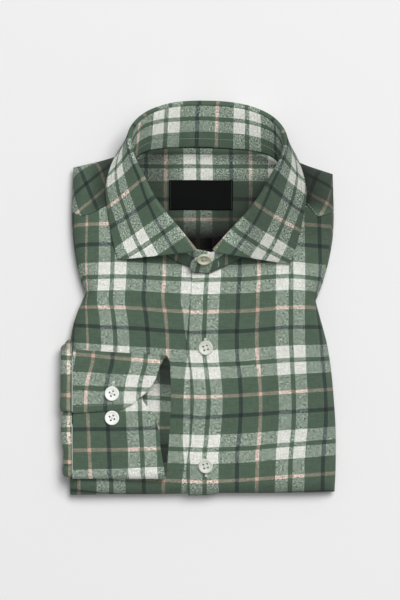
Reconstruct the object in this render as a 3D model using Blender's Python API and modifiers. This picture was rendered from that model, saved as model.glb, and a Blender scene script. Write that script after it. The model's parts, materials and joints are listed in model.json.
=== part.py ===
"""A long-sleeved flannel shirt, buttoned and folded flat, with one cuff brought to the front.

The folded shirt lies on its back: +X is to its right, +Y towards the collar and +Z up.
All sizes are in millimetres, and MM turns them into Blender's metres. Plan positions are measured from the
line of the front buttons, which lies BUTTON_LINE_X to the right of the middle of the whole folded shirt.
"""

import math

import bmesh
import bpy
from mathutils import Vector

MM = 0.001
BUTTON_LINE_X = 5.25

# Cloth thicknesses, with interlining in the collar and cuff, and the clearance between pieces.
PANEL_THICK = 1.3
BAND_THICK = 1.7
LEAF_THICK = 1.7
CUFF_THICK = 1.8
SLEEVE_THICK = 1.2
LABEL_THICK = 0.8
SEAM_GAP = 0.3
LAYER_GAP = 0.5
YOKE_GAP = 0.7  # along the slanted yoke seams
CORE_GAP = 0.9  # between the panels and the folded layers under them

# The folded body: how high it is at its edges and middle, and the round of the fold at its edge.
EDGE_TOP = 20.5
CROWN_RISE = 4.0
WRAP_LOW = 8.0
FOLD_RADIUS = 11.0
BODY_HALF_WIDTH = 110.0
BODY_HALF_LENGTH = 165.0
BODY_COLUMNS = 14
BODY_ROWS = 14
FRONT_COLUMNS = 9
FRONT_ROWS = 13
YOKE_ROWS = 3
YOKE_DEPTH = 40.0

# Folded edges of the body: distance from the button line to the left and right folds at each height y.
# The folds below and above the armhole meet in a notch.
LEFT_NOTCH_Y = 3.9
RIGHT_NOTCH_Y = -1.1
LEFT_LOWER_FOLD = (  # y, half width
    (-165.5, 112.1),
    (-145.0, 112.8),
    (-86.0, 113.1),
    (-36.0, 112.6),
    (-23.0, 110.5),
    (-14.6, 107.9),
    (-6.2, 104.4),
    (LEFT_NOTCH_Y, 99.8),
)
LEFT_UPPER_FOLD = (
    (LEFT_NOTCH_Y, 99.8),
    (14.8, 103.3),
    (27.4, 106.3),
    (40.0, 108.5),
    (52.6, 110.0),
    (69.4, 110.8),
    (90.4, 110.2),
    (110.6, 109.6),
)
RIGHT_LOWER_FOLD = (
    (-162.4, 109.6),
    (-144.8, 110.5),
    (-111.0, 110.5),
    (-86.0, 109.0),
    (-60.8, 106.7),
    (-35.6, 102.7),
    (-14.6, 96.8),
    (RIGHT_NOTCH_Y, 93.2),
)
RIGHT_UPPER_FOLD = (
    (RIGHT_NOTCH_Y, 93.2),
    (6.4, 96.3),
    (14.8, 99.0),
    (27.4, 102.5),
    (40.0, 105.4),
    (52.6, 107.2),
    (69.4, 107.9),
    (104.3, 107.2),
)
HEM_FOLD = ((-113.0, -165.5), (-20.0, -164.4), (0.0, -163.8), (80.0, -163.5), (110.0, -162.4))  # x, y
SHOULDER_FOLD = (
    (-113.0, 109.0),
    (-76.0, 118.5),
    (-62.0, 126.5),
    (-47.0, 132.5),
    (-25.0, 136.0),
    (0.0, 137.0),
    (25.0, 136.0),
    (50.0, 131.0),
    (66.0, 123.0),
    (80.0, 113.9),
    (110.0, 103.4),
)
YOKE_SEAM = (
    (-113.0, 72.0),
    (-101.0, 68.6),
    (-82.0, 77.0),
    (-65.0, 82.0),
    (0.0, 84.0),
    (65.0, 82.0),
    (86.0, 77.0),
    (95.0, 68.6),
    (110.0, 72.0),
)

# The layers that show round the edge of the folded body, below the outer one.
LAYERS_SHOWN = 3
LAYERS_TOP = WRAP_LOW - 1.6
NOTCH_EASE = 1.2  # the folded layers stay this much further in at the notches
LAYER_GROOVE = 0.9

# The overlap of the two fronts.
PLACKET_EDGE_X = -11.8
UNDERLAP_X = -3.5
PLACKET_LIFT = PANEL_THICK + LAYER_GAP
PLACKET_BLEND_X = 16.0
PLACKET_BLEND_LOW_X = -24.0

# The collar, in stations from the middle of the back (first row) to the end of one leaf (last row).
# x and y of the neck seam, then x, y and z of the roll line, then x, y and z of the leaf's free edge.
# z of the free edge is 0 where the leaf rests on the body and is found from it.
COLLAR_AXIS_X = 1.5
COLLAR_TURN_DEG = -1.5
COLLAR_TURN_Y = 98.8
COLLAR_STATIONS = (
    (0.0, 126.5, 0.0, 163.0, 43.5, 0.0, 160.0, 2.4),
    (17.6, 126.2, 17.6, 162.3, 43.5, 17.8, 159.3, 2.4),
    (35.3, 125.2, 34.4, 159.6, 43.8, 34.8, 156.3, 2.8),
    (52.0, 121.6, 50.2, 153.2, 44.5, 51.5, 149.2, 4.2),
    (62.2, 113.8, 59.9, 143.0, 45.4, 65.0, 138.0, 8.5),
    (66.4, 101.3, 62.4, 130.0, 46.3, 75.2, 123.8, 17.5),
    (66.4, 87.1, 58.0, 115.6, 46.5, 82.3, 104.7, 0.0),
    (61.7, 72.8, 50.4, 101.3, 47.0, 84.2, 90.4, 0.0),
    (53.8, 57.2, 42.4, 86.2, 47.0, 82.4, 74.5, 0.0),
    (40.7, 42.1, 31.9, 71.9, 46.6, 79.8, 58.5, 0.0),
    (24.4, 30.8, 19.3, 57.7, 46.2, 76.0, 42.5, 0.0),
    (4.2, 22.8, 5.5, 41.7, 45.5, 71.8, 29.9, 0.0),
)
LEAF_LANDS = 5  # up to this station the leaf's edge hangs clear, and past the next one it rests on the body
COLLAR_STEPS = 2  # columns of faces between two stations
ROLL_RADIUS = 2.5
ROLL_STRAIGHT = 2.2
LEAF_BULGE = 2.0
LEAF_ROLL_ROWS = 4
LEAF_ROWS = 4
BAND_ROWS = 3
BAND_BULGE = 0.8
BAND_REACH = 13.5  # how far each end of the band passes the button line
BAND_LAP = BAND_THICK + 2 * SEAM_GAP  # how far its right end lies outside its left end
BAND_LEAF_GAP = 0.6
BAND_END = ((0.35, 1.0), (0.7, 0.96), (0.92, 0.84), (1.0, 0.62))  # share of the reach, share of the height

# The hollow inside the collar: its floor, and how far it is inside the neck seam.
NECK_INSET = 2.2
FLOOR_BACK_Z = 17.4
FLOOR_FRONT_Z = 9.0
NECK_PLUG_TOP = 36.0
INNER_YOKE_ENDS = (5.0, 3.2)  # how far its front and back edges are inside the hollow
NECK_BACK_Y = 126.0
NECK_FRONT_Y = 22.0

# The label in the back of the neck.
LABEL_LEFT_X = -29.8
LABEL_RIGHT_X = 23.9
LABEL_TOP_Y = 98.8
LABEL_LOW_Y = 73.6

# The cuff, a strip that goes round from its lower flap, under the arm and up to its upper flap.
CUFF_SEAM_X = -110.6
CUFF_TOP_Y = -44.5
CUFF_TOP_SLOPE_Y = -5.0  # the top fold drops by this much from the seam to the hand
CUFF_LOW_Y = -151.3
CUFF_LOWER_FLAP_Y = -82.5
CUFF_UPPER_FLAP_Y = -94.0
CUFF_HOLLOW_SEAM = 2.5
CUFF_HOLLOW_HAND = 8.5
CUFF_LAP_RUN = 14.0  # the upper flap rises over the lower one in this length
CUFF_HAND_EDGE = (  # place round the strip (zone and share of the zone), x of the hand's edge
    (0.0, -61.0),
    (0.40, -41.6),
    (0.62, -39.5),
    (1.0, -34.0),
    (2.0, -31.5),
    (2.55, -28.4),
    (3.0, -29.0),
    (4.0, -34.9),
    (4.35, -38.2),
    (4.62, -41.5),
    (4.93, -49.5),
    (5.0, -53.0),
)
CUFF_FAR_X = -28.4
CUFF_STEPS = (8, 4, 8, 4, 7)
CUFF_ALONG = 6

# The sleeve, a flat tube that comes from under the body, round its left fold and to the cuff.
SLEEVE_HALF_THICK = 2.4
SLEEVE_TOP_Y = -40.5
SLEEVE_LOW_Y = -150.6
SLEEVE_OUTER_X = -121.0
SLEEVE_UPPER_BEND = 7.4
SLEEVE_LOWER_BEND = 5.6
SLEEVE_UNDER_X = -92.0
SLEEVE_PLEATS = ((-94.6, 1.1), (-139.4, 0.8))  # y of each pleat's edge, and its step
SLEEVE_PLEAT_RUN = 12.0
SLEEVE_PLEAT_EDGE = 2.0
SLEEVE_SIDES = 9
SLEEVE_INNER_SIDES = 6
NOTCH_TOP_Z = 5.4
NOTCH_MARGIN = 1.2

# Buttons.
BUTTON_RADIUS = 5.95
BUTTON_THICK = 2.6
BUTTON_PROFILE = (  # share of the radius, share of the thickness
    (0.0, 0.62),
    (0.55, 0.64),
    (0.74, 0.96),
    (0.88, 1.0),
    (1.0, 0.6),
    (0.9, 0.12),
    (0.7, 0.0),
    (0.0, 0.0),
)
BUTTON_HOLE_RADIUS = 0.85
BUTTON_HOLE_SPACING = 1.9
BUTTON_STEPS = 16
FRONT_BUTTON_X = 0.9
COLLAR_BUTTON_X = -0.4
FRONT_BUTTONS_Y = (-42.2, -141.4)
CUFF_BUTTON_X = -77.4
CUFF_BUTTONS_Y = (-80.4, -100.8)

CLOTH_GREEN = (0.086, 0.138, 0.094)
BUTTON_IVORY = (0.72, 0.71, 0.64)
LABEL_BLACK = (0.012, 0.012, 0.013)


def clear_scene():
    for obj in list(bpy.data.objects):
        bpy.data.objects.remove(obj)


def collection(name):
    made = bpy.data.collections.new(name)
    bpy.context.scene.collection.children.link(made)
    return made


def material(name, colour, roughness):
    made = bpy.data.materials.new(name)
    made.use_nodes = True
    shader = made.node_tree.nodes["Principled BSDF"]
    shader.inputs["Base Color"].default_value = (*colour, 1.0)
    shader.inputs["Roughness"].default_value = roughness
    return made


def smooth_step(share):
    share = min(max(share, 0.0), 1.0)
    return share * share * (3 - 2 * share)


def mixed(first, second, share):
    return first + (second - first) * share


def along_table(rows, at, column=1):
    """The value at a position, on a smooth curve through a table whose first column is the position."""
    last = len(rows) - 1
    i = 0
    while i < last - 1 and at > rows[i + 1][0]:
        i += 1
    start, end = rows[i], rows[i + 1]
    width = end[0] - start[0]
    share = min(max((at - start[0]) / width, 0.0), 1.0)
    chord = (end[column] - start[column]) / width
    before, after = chord, chord
    if i > 0:
        before = (end[column] - rows[i - 1][column]) / (end[0] - rows[i - 1][0])
    if i + 2 <= last:
        after = (rows[i + 2][column] - start[column]) / (rows[i + 2][0] - start[0])
    square, cube = share * share, share**3
    return (
        (2 * cube - 3 * square + 1) * start[column]
        + (cube - 2 * square + share) * width * before
        + (3 * square - 2 * cube) * end[column]
        + (cube - square) * width * after
    )


def half_width(side, y):
    """Distance from the button line to the folded edge: side is -1 for the left and 1 for the right."""
    if side < 0:
        rows = LEFT_LOWER_FOLD if y < LEFT_NOTCH_Y else LEFT_UPPER_FOLD
    else:
        rows = RIGHT_LOWER_FOLD if y < RIGHT_NOTCH_Y else RIGHT_UPPER_FOLD
    return along_table(rows, y)


def fold_round(distance, inset):
    """How much of its full height the body has at this distance from a folded edge."""
    share = min(max(distance / (FOLD_RADIUS - inset), 0.0), 1.0)
    return math.sqrt(1 - (1 - share) ** 2)


def crown(x, y):
    """Height of the folded body's upper face, away from its edges."""
    across = 1 - min(1.0, (x / BODY_HALF_WIDTH) ** 2)
    along = 1 - min(1.0, (y / BODY_HALF_LENGTH) ** 2)
    return EDGE_TOP + CROWN_RISE * across * along


def body_height(x, y, inset=0.0):
    """Height of the body's surface, or of the surface that lies inset deeper inside it."""
    side = -1 if x < 0 else 1
    share = (
        fold_round(half_width(side, y) - inset - abs(x), inset)
        * fold_round(y - along_table(HEM_FOLD, x) - inset, inset)
        * fold_round(along_table(SHOULDER_FOLD, x) - inset - y, inset)
    )
    return WRAP_LOW + (crown(x, y) - inset - WRAP_LOW) * share


def placket_lift(x):
    """How much higher the front that overlaps lies, near the buttons."""
    rise = smooth_step((x - PLACKET_BLEND_LOW_X) / (PLACKET_EDGE_X - PLACKET_BLEND_LOW_X))
    return PLACKET_LIFT * rise * smooth_step((PLACKET_BLEND_X - x) / (PLACKET_BLEND_X - 2.0))


def body_point(across, low, high, up, inset=0.0):
    """A point of the body's surface, on or inset inside it.

    across is -1 to 1 from the left fold to the right one, and up is 0 to 1 from one line to another.
    The lines low and high are tables of y by x."""
    side = -1 if across < 0 else 1
    edge_x = side * BODY_HALF_WIDTH
    edge_y = mixed(along_table(low, edge_x), along_table(high, edge_x), up)
    x = across * (half_width(side, edge_y) - inset)
    y = mixed(
        along_table(low, x) + (inset if low is HEM_FOLD else 0.0),
        along_table(high, x) - (inset if high is SHOULDER_FOLD else 0.0),
        up,
    )
    return Vector((x, y, body_height(x, y, inset)))


def fold_knots(length, plain_steps, at_start, at_end):
    """Shares from 0 to 1 along a length, close together where the cloth rounds a fold at either end."""
    rounded = [FOLD_RADIUS * (1 - math.cos(math.radians(turn))) / length for turn in (0, 24, 46, 68)]
    start = rounded if at_start else []
    end = [1 - share for share in reversed(rounded)] if at_end else []
    low = FOLD_RADIUS / length if at_start else 0.0
    high = 1 - FOLD_RADIUS / length if at_end else 1.0
    middle = [mixed(low, high, i / plain_steps) for i in range(plain_steps + 1)]
    return start + middle + end


def with_knots(knots, *places):
    """The knots with these places among them, in place of the nearest one."""
    nearest = min(range(1, len(knots) - 1), key=lambda i: abs(knots[i] - places[0]))
    return knots[:nearest] + sorted(places) + knots[nearest + 1 :]


def notch_share(side, high):
    """How far up a side fold its notch is, as a share of the way from the hem to a line."""
    low_y = along_table(HEM_FOLD, side * BODY_HALF_WIDTH)
    high_y = along_table(high, side * BODY_HALF_WIDTH)
    return ((LEFT_NOTCH_Y if side < 0 else RIGHT_NOTCH_Y) - low_y) / (high_y - low_y)


def grid_mesh(name, points, closed_across=False):
    """A mesh of rows and columns of points in millimetres, whose last column may join its first."""
    rows, columns = len(points), len(points[0])
    shape = bmesh.new()
    bmesh.ops.create_grid(shape, x_segments=columns - 1, y_segments=rows - 1, size=1.0)
    shape.verts.ensure_lookup_table()
    for i, row in enumerate(points):
        for j, point in enumerate(row):
            shape.verts[i * columns + j].co = (point + Vector((BUTTON_LINE_X, 0, 0))) * MM
    if closed_across:
        bmesh.ops.remove_doubles(shape, verts=shape.verts, dist=0.02 * MM)
    mesh = bpy.data.meshes.new(name)
    shape.to_mesh(mesh)
    shape.free()
    return mesh


def add_node(name, mesh, finish, where):
    node = bpy.data.objects.new(name, mesh)
    where.objects.link(node)
    mesh.materials.append(finish)
    mesh.shade_smooth()
    return node


def cloth_wall(name, points, thick, finish, where, offset=-1.0, closed_across=False):
    """A cloth piece: the grid of points, thickened by Solidify below it, or evenly about it with offset 0."""
    node = add_node(name, grid_mesh(name, points, closed_across), finish, where)
    solidify = node.modifiers.new("cloth thickness", "SOLIDIFY")
    solidify.thickness = thick * MM
    solidify.offset = offset
    solidify.use_even_offset = True
    return node


def cut(node, cutter, name):
    boolean = node.modifiers.new(name, "BOOLEAN")
    boolean.operation = "DIFFERENCE"
    boolean.object = cutter


def collar_station(at):
    """Three points of the collar at a station: on the neck seam, the roll line and the leaf's free edge.

    Stations run from -11 at the left leaf's end, round the back, to 11 at the right leaf's end."""
    side = -1 if at < 0 else 1
    last = len(COLLAR_STATIONS) - 1
    table = []
    for i in range(-last, last + 1):
        row = COLLAR_STATIONS[abs(i)]
        sign = -1 if i < 0 else 1
        table.append((i, *(sign * v if column in (0, 2, 5) else v for column, v in enumerate(row))))
    values = [along_table(table, at, column) for column in range(1, 9)]
    seam = collar_placed(values[0], values[1], 0.0)
    roll = collar_placed(values[2], values[3], values[4])
    edge = collar_placed(values[5], values[6], values[7])
    seam.z = band_foot_z(seam)
    if abs(at) > LEAF_LANDS:
        rest = crown(edge.x, edge.y) + SEAM_GAP * 2 + LEAF_THICK / 2
        edge.z = mixed(along_table(table, LEAF_LANDS * side, 8), rest, smooth_step(abs(at) - LEAF_LANDS))
    return seam, roll, edge


def band_foot_z(seam):
    return body_height(seam.x, seam.y) + placket_lift(seam.x) + SEAM_GAP + BAND_THICK / 2


def facing_out(seam, roll):
    """The way that the outer face of the band looks at the front of the neck."""
    slope = roll - seam
    return Vector((0, -slope.z, slope.y)).normalized()


def collar_placed(x, y, z):
    """A point of the collar, turned a little on the shirt as the folded collar lies."""
    turn = math.radians(COLLAR_TURN_DEG)
    y -= COLLAR_TURN_Y
    return Vector(
        (
            COLLAR_AXIS_X + x * math.cos(turn) - y * math.sin(turn),
            COLLAR_TURN_Y + x * math.sin(turn) + y * math.cos(turn),
            z,
        )
    )


def roll_frame(at):
    """At a station of the roll line: the ways up the band and out of the neck, both square to the line."""
    seam, roll, edge = collar_station(at)
    along = (collar_station(at + 0.2)[1] - collar_station(at - 0.2)[1]).normalized()
    up = roll - seam
    up = (up - along * up.dot(along)).normalized()
    out = along.cross(up)
    return up, out if out.dot(edge - seam) > 0 else -out


def band_top(at):
    """Where the band ends and the leaf's roll begins."""
    up, _ = roll_frame(at)
    return collar_station(at)[1] - up * (ROLL_STRAIGHT + ROLL_RADIUS)


def leaf_section(at):
    """Points from the top of the band over the roll and down to the leaf's free edge, at a station."""
    edge = collar_station(at)[2]
    up, out = roll_frame(at)
    start = band_top(at) + up * BAND_LEAF_GAP
    centre = start + up * (ROLL_STRAIGHT - BAND_LEAF_GAP) + out * ROLL_RADIUS
    sideways, upward = (edge - centre).dot(out), (edge - centre).dot(up)
    straight = math.sqrt(sideways**2 + upward**2 - ROLL_RADIUS**2)
    turn_end = math.atan2(
        sideways * straight + upward * ROLL_RADIUS, upward * straight - sideways * ROLL_RADIUS
    ) % math.tau
    points = [start]
    for i in range(LEAF_ROLL_ROWS + 1):
        turn = turn_end * i / LEAF_ROLL_ROWS
        points.append(centre - out * ROLL_RADIUS * math.cos(turn) + up * ROLL_RADIUS * math.sin(turn))
    leaves_roll = points[-1]
    bulge_way = up * math.sin(turn_end) * -1 + out * math.cos(turn_end)
    for i in range(1, LEAF_ROWS + 1):
        share = i / LEAF_ROWS
        bulge = LEAF_BULGE * math.sin(math.pi * share) * (1 - share * 0.5)
        points.append(leaves_roll.lerp(edge, share) - bulge_way * bulge)
    return points


def collar_positions():
    last = len(COLLAR_STATIONS) - 1
    return [i / COLLAR_STEPS for i in range(-last * COLLAR_STEPS, last * COLLAR_STEPS + 1)]


def collar_leaf(finish, where):
    sections = [leaf_section(at) for at in collar_positions()]
    cloth_wall("collar_leaf", sections, LEAF_THICK, finish, where, offset=0.0)


def band_column(foot, top, height_share, sideways):
    """Points up the band at one place, moved sideways and with only part of its height at a rounded end."""
    points = []
    for i in range(BAND_ROWS + 1):
        share = i / BAND_ROWS
        point = foot.lerp(top, share * height_share) + sideways
        point.z += BAND_BULGE * math.sin(math.pi * share) * height_share
        points.append(point)
    return points


def collar_band(finish, where):
    """The band the leaf is sewn to. Its right end passes outside its left end, under the collar button."""
    last = len(COLLAR_STATIONS) - 1
    columns = []
    for at in collar_positions():
        seam, roll, _ = collar_station(at)
        lap = BAND_LAP * smooth_step(at - last + 1)
        columns.append(band_column(seam, band_top(at), 1.0, facing_out(seam, roll) * lap))
    for side in (-1, 1):
        seam, roll, _ = collar_station(side * last)
        top = band_top(side * last)
        lap = BAND_LAP if side > 0 else 0.0
        for share, height in BAND_END:
            move = Vector(((-side * BAND_REACH - seam.x) * share, 0, 0))
            foot = seam + move
            foot.z = band_foot_z(foot)
            column = band_column(foot, top + move, height, facing_out(seam, roll) * lap)
            columns = [column] + columns if side < 0 else columns + [column]
    cloth_wall("collar_band", columns, BAND_THICK, finish, where, offset=0.0)


def neck_outline(inset):
    """The neck seam's loop, moved in by an inset, from the front of the neck round and back."""
    centre = Vector((COLLAR_AXIS_X, (NECK_BACK_Y + NECK_FRONT_Y) / 2, 0))
    points = []
    for at in collar_positions():
        seam, _, _ = collar_station(at)
        seam.z = 0
        inward = (centre - seam).normalized()
        points.append(seam + inward * inset)
    return points


def floor_height(y):
    """Height of the hollow's floor inside the collar."""
    share = (y - NECK_FRONT_Y) / (NECK_BACK_Y - NECK_FRONT_Y)
    return mixed(FLOOR_FRONT_Z, FLOOR_BACK_Z, share)


def cutter_object(name, mesh, where):
    cutter = bpy.data.objects.new(name, mesh)
    where.objects.link(cutter)
    cutter.hide_render = True
    cutter.display_type = "WIRE"
    return cutter


def neck_cutter(where):
    """A plug of the neck's outline with a sloping bottom, which cuts out the neck under the collar."""
    shape = bmesh.new()
    verts = []
    for point in neck_outline(NECK_INSET):
        point.x += BUTTON_LINE_X
        point.z = floor_height(point.y)
        verts.append(shape.verts.new(point * MM))
    base = shape.faces.new(verts)
    for part in bmesh.ops.extrude_face_region(shape, geom=[base])["geom"]:
        if isinstance(part, bmesh.types.BMVert):
            part.co.z = NECK_PLUG_TOP * MM
    bmesh.ops.recalc_face_normals(shape, faces=shape.faces)
    mesh = bpy.data.meshes.new("neck_plug")
    shape.to_mesh(mesh)
    shape.free()
    return cutter_object("neck_plug", mesh, where)


def front_points(side, inner_x, lift_at):
    """The grid of one front, from hem fold to yoke seam and from its inner edge to its side fold."""
    low_y, high_y = HEM_FOLD[0][1], YOKE_SEAM[0][1]
    ups = fold_knots(high_y - low_y, FRONT_ROWS, at_start=True, at_end=False)
    ups = with_knots(ups, notch_share(side, YOKE_SEAM))
    start = inner_x * side / BODY_HALF_WIDTH
    knots = fold_knots(BODY_HALF_WIDTH * (1 - start), FRONT_COLUMNS, at_start=False, at_end=True)
    outs = [mixed(start, 1.0, share) for share in knots]
    points = []
    for up in ups:
        row = []
        for out in outs:
            point = body_point(out * side, HEM_FOLD, YOKE_SEAM, up)
            row.append(body_point(out * side, HEM_FOLD, YOKE_SEAM, up, -lift_at(point.x)))
        points.append(row if side > 0 else row[::-1])
    return points


def fronts(finish, where, plug):
    under = front_points(-1, UNDERLAP_X, lambda x: 0.0)
    over = front_points(1, PLACKET_EDGE_X, placket_lift)
    for name, points in (("front_under", under), ("front_over", over)):
        cut(cloth_wall(name, points, PANEL_THICK, finish, where), plug, "neckline")


def yoke(finish, where, plug):
    """The yoke comes over the shoulder fold from the back, and ends at its front seam."""
    outs = [2 * share - 1 for share in fold_knots(2 * BODY_HALF_WIDTH, BODY_COLUMNS, True, True)]
    low = [(x, y + YOKE_GAP) for x, y in YOKE_SEAM]
    ups = fold_knots(YOKE_DEPTH, YOKE_ROWS, at_start=False, at_end=True)
    points = [[body_point(out, low, SHOULDER_FOLD, up) for out in outs] for up in ups]
    cut(cloth_wall("yoke", points, PANEL_THICK, finish, where), plug, "neckline")


def inner_yoke_point(across, up):
    """A point of the yoke's inside, which is seen as the floor of the hollow in the collar."""
    y = mixed(NECK_FRONT_Y + INNER_YOKE_ENDS[0], NECK_BACK_Y - INNER_YOKE_ENDS[1], up)
    left, right = neck_width_at(y)
    x = mixed(left, right, (across + 1) / 2)
    return Vector((x, y, floor_height(y) + LAYER_GAP + PANEL_THICK))


def neck_width_at(y):
    """The left and right x of the hollow at a height y, a little inside its wall."""
    outline = neck_outline(NECK_INSET + 3 * SEAM_GAP)
    crossings = []
    for first, second in zip(outline, outline[1:] + outline[:1]):
        if (first.y - y) * (second.y - y) < 0:
            crossings.append(mixed(first.x, second.x, (y - first.y) / (second.y - first.y)))
    return min(crossings), max(crossings)


def inner_yoke(finish, where):
    rows, columns = 8, 12
    points = []
    for i in range(rows + 1):
        points.append([inner_yoke_point(2 * j / columns - 1, i / rows) for j in range(columns + 1)])
    cloth_wall("inner_yoke", points, PANEL_THICK, finish, where)


def neck_label(finish, where):
    rows, columns = 4, 6
    points = []
    for i in range(rows + 1):
        y = mixed(LABEL_LOW_Y, LABEL_TOP_Y, i / rows)
        z = floor_height(y) + LAYER_GAP + PANEL_THICK + SEAM_GAP + LABEL_THICK
        xs = [mixed(LABEL_LEFT_X, LABEL_RIGHT_X, j / columns) for j in range(columns + 1)]
        points.append([Vector((x, y, z)) for x in xs])
    cloth_wall("neck_label", points, LABEL_THICK, finish, where)


def layer_profile(inset):
    """(height, how far out) of the layers down the side of the folded body, to its flat underside."""
    layer = LAYERS_TOP / LAYERS_SHOWN
    profile = [(LAYERS_TOP + LAYER_GROOVE / 4, -LAYER_GROOVE)]
    for i in range(LAYERS_SHOWN):
        top = LAYERS_TOP - i * layer
        profile += [(top - layer * 0.45, inset), (top - layer, -LAYER_GROOVE)]
    return profile[:-1] + [(0.0, inset - LAYER_GROOVE)]


def grow_sides(shape, profile):
    """Carries the rim of a shape down through a profile and closes it underneath."""
    ring = [edge for edge in shape.edges if edge.is_boundary]
    rim = {}
    for height, outset in profile:
        grown = bmesh.ops.extrude_edge_only(shape, edges=ring)["geom"]
        verts = {part for part in grown if isinstance(part, bmesh.types.BMVert)}
        for vert in verts:
            above = next(other for edge in vert.link_edges if (other := edge.other_vert(vert)) not in verts)
            rim[vert] = rim.get(above, above.co.copy())
            away = rim[vert] - Vector((BUTTON_LINE_X * MM, 0, 0))
            away.z = 0
            away.x *= BODY_HALF_LENGTH / BODY_HALF_WIDTH
            vert.co = rim[vert] + away.normalized() * outset * MM
            vert.co.z = height * MM
        ring = [part for part in grown if isinstance(part, bmesh.types.BMEdge)]
    bmesh.ops.contextual_create(shape, geom=ring)
    bmesh.ops.recalc_face_normals(shape, faces=shape.faces)


def folded_layers(finish, where, plug, notch):
    """All that is folded out of sight: one rounded body, layered round its edge and cut for the neck."""
    inset = PANEL_THICK + CORE_GAP
    length = along_table(SHOULDER_FOLD, 0.0) - along_table(HEM_FOLD, 0.0)
    outs = [2 * share - 1 for share in fold_knots(2 * BODY_HALF_WIDTH, BODY_COLUMNS, True, True)]
    notches = (notch_share(-1, SHOULDER_FOLD), notch_share(1, SHOULDER_FOLD))
    points = []
    for up in with_knots(fold_knots(length, BODY_ROWS, True, True), *notches):
        deeper = inset + (NOTCH_EASE if up in notches else 0.0)
        points.append([body_point(out, HEM_FOLD, SHOULDER_FOLD, up, deeper) for out in outs])
    mesh = grid_mesh("folded_layers", points)
    shape = bmesh.new()
    shape.from_mesh(mesh)
    grow_sides(shape, layer_profile(inset))
    shape.to_mesh(mesh)
    shape.free()
    node = add_node("folded_layers", mesh, finish, where)
    cut(node, plug, "neck hollow")
    cut(node, notch, "room for the sleeve")


def sleeve_notch(where):
    """Room under the body's left side, where the sleeve comes through."""
    low = Vector((SLEEVE_OUTER_X - NOTCH_MARGIN, SLEEVE_LOW_Y - NOTCH_MARGIN, -NOTCH_TOP_Z))
    high = Vector((SLEEVE_UNDER_X + NOTCH_MARGIN, SLEEVE_TOP_Y + NOTCH_MARGIN, NOTCH_TOP_Z))
    shape = bmesh.new()
    bmesh.ops.create_cube(shape, size=1.0)
    bmesh.ops.scale(shape, verts=shape.verts, vec=(high - low) * MM)
    bmesh.ops.translate(shape, verts=shape.verts, vec=((low + high) / 2 + Vector((BUTTON_LINE_X, 0, 0))) * MM)
    mesh = bpy.data.meshes.new("sleeve_notch")
    shape.to_mesh(mesh)
    shape.free()
    return cutter_object("sleeve_notch", mesh, where)


def quarter_turn(centre_x, centre_z, radius, first, steps):
    """(x, z, way outwards) round a quarter turn that starts at an angle in degrees and goes clockwise."""
    path = []
    for i in range(steps + 1):
        turn = first - 90.0 * i / steps
        way = math.radians(turn)
        path.append((centre_x + radius * math.cos(way), centre_z + radius * math.sin(way), turn))
    return path


def sleeve_path():
    """The middle of the flat sleeve as (x, z, way its outer face looks), from under the body to the cuff."""
    side_x = SLEEVE_OUTER_X + SLEEVE_HALF_THICK
    low_z = SLEEVE_HALF_THICK
    top_z = crown(CUFF_SEAM_X, (SLEEVE_TOP_Y + SLEEVE_LOW_Y) / 2) + SEAM_GAP * 2 + SLEEVE_HALF_THICK
    lower, upper = SLEEVE_LOWER_BEND, SLEEVE_UPPER_BEND
    return (
        [(SLEEVE_UNDER_X, low_z, 270.0), (side_x + 2 * lower, low_z, 270.0)]
        + quarter_turn(side_x + lower, low_z + lower, lower, 270.0, 4)
        + quarter_turn(side_x + upper, top_z - upper, upper, 180.0, 5)
    )


def pleat_rise(y):
    """Height of the sleeve's pleats over its flat outer face."""
    rise = 0.0
    for edge, step in SLEEVE_PLEATS:
        if edge - SLEEVE_PLEAT_EDGE < y < edge + SLEEVE_PLEAT_RUN:
            away = (y - edge) / SLEEVE_PLEAT_RUN if y > edge else (edge - y) / SLEEVE_PLEAT_EDGE
            rise += step * smooth_step(1 - away)
    return rise


def sleeve_ring(pleated):
    """The flat tube's section as (y, height over its middle), once round. pleated is 0 to 1."""
    round_end = SLEEVE_HALF_THICK - SLEEVE_THICK / 2
    low, high = SLEEVE_LOW_Y + SLEEVE_HALF_THICK, SLEEVE_TOP_Y - SLEEVE_HALF_THICK
    flat = [mixed(low, high, i / SLEEVE_SIDES) for i in range(SLEEVE_SIDES + 1)]
    for edge, _ in SLEEVE_PLEATS:
        flat += [edge, edge - SLEEVE_PLEAT_EDGE]
    flat.sort()
    ring = [(y, round_end + pleat_rise(y) * pleated) for y in flat]
    inner = [(mixed(high, low, i / SLEEVE_INNER_SIDES), -round_end) for i in range(SLEEVE_INNER_SIDES + 1)]
    for middle, turns, side in ((high, (45, 90, 135), inner), (low, (225, 270, 315), ring[:1])):
        for turn in turns:
            way = math.radians(turn)
            ring.append((middle + round_end * math.sin(way), round_end * math.cos(way)))
        ring += side
    return ring


def sleeve(finish, where):
    points = []
    for x, z, turn in sleeve_path():
        way = math.radians(turn)
        ring = sleeve_ring(smooth_step(math.sin(way)))
        points.append([Vector((x + h * math.cos(way), y, z + h * math.sin(way))) for y, h in ring])
    cloth_wall("sleeve", points, SLEEVE_THICK, finish, where, offset=0.0, closed_across=True)


def cuff_stations():
    """Places round the cuff's strip, as (zone, share of the zone): flap, fold, back, fold and flap."""
    return [(zone, i / steps) for zone, steps in enumerate(CUFF_STEPS) for i in range(steps)] + [(4, 1.0)]


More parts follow.
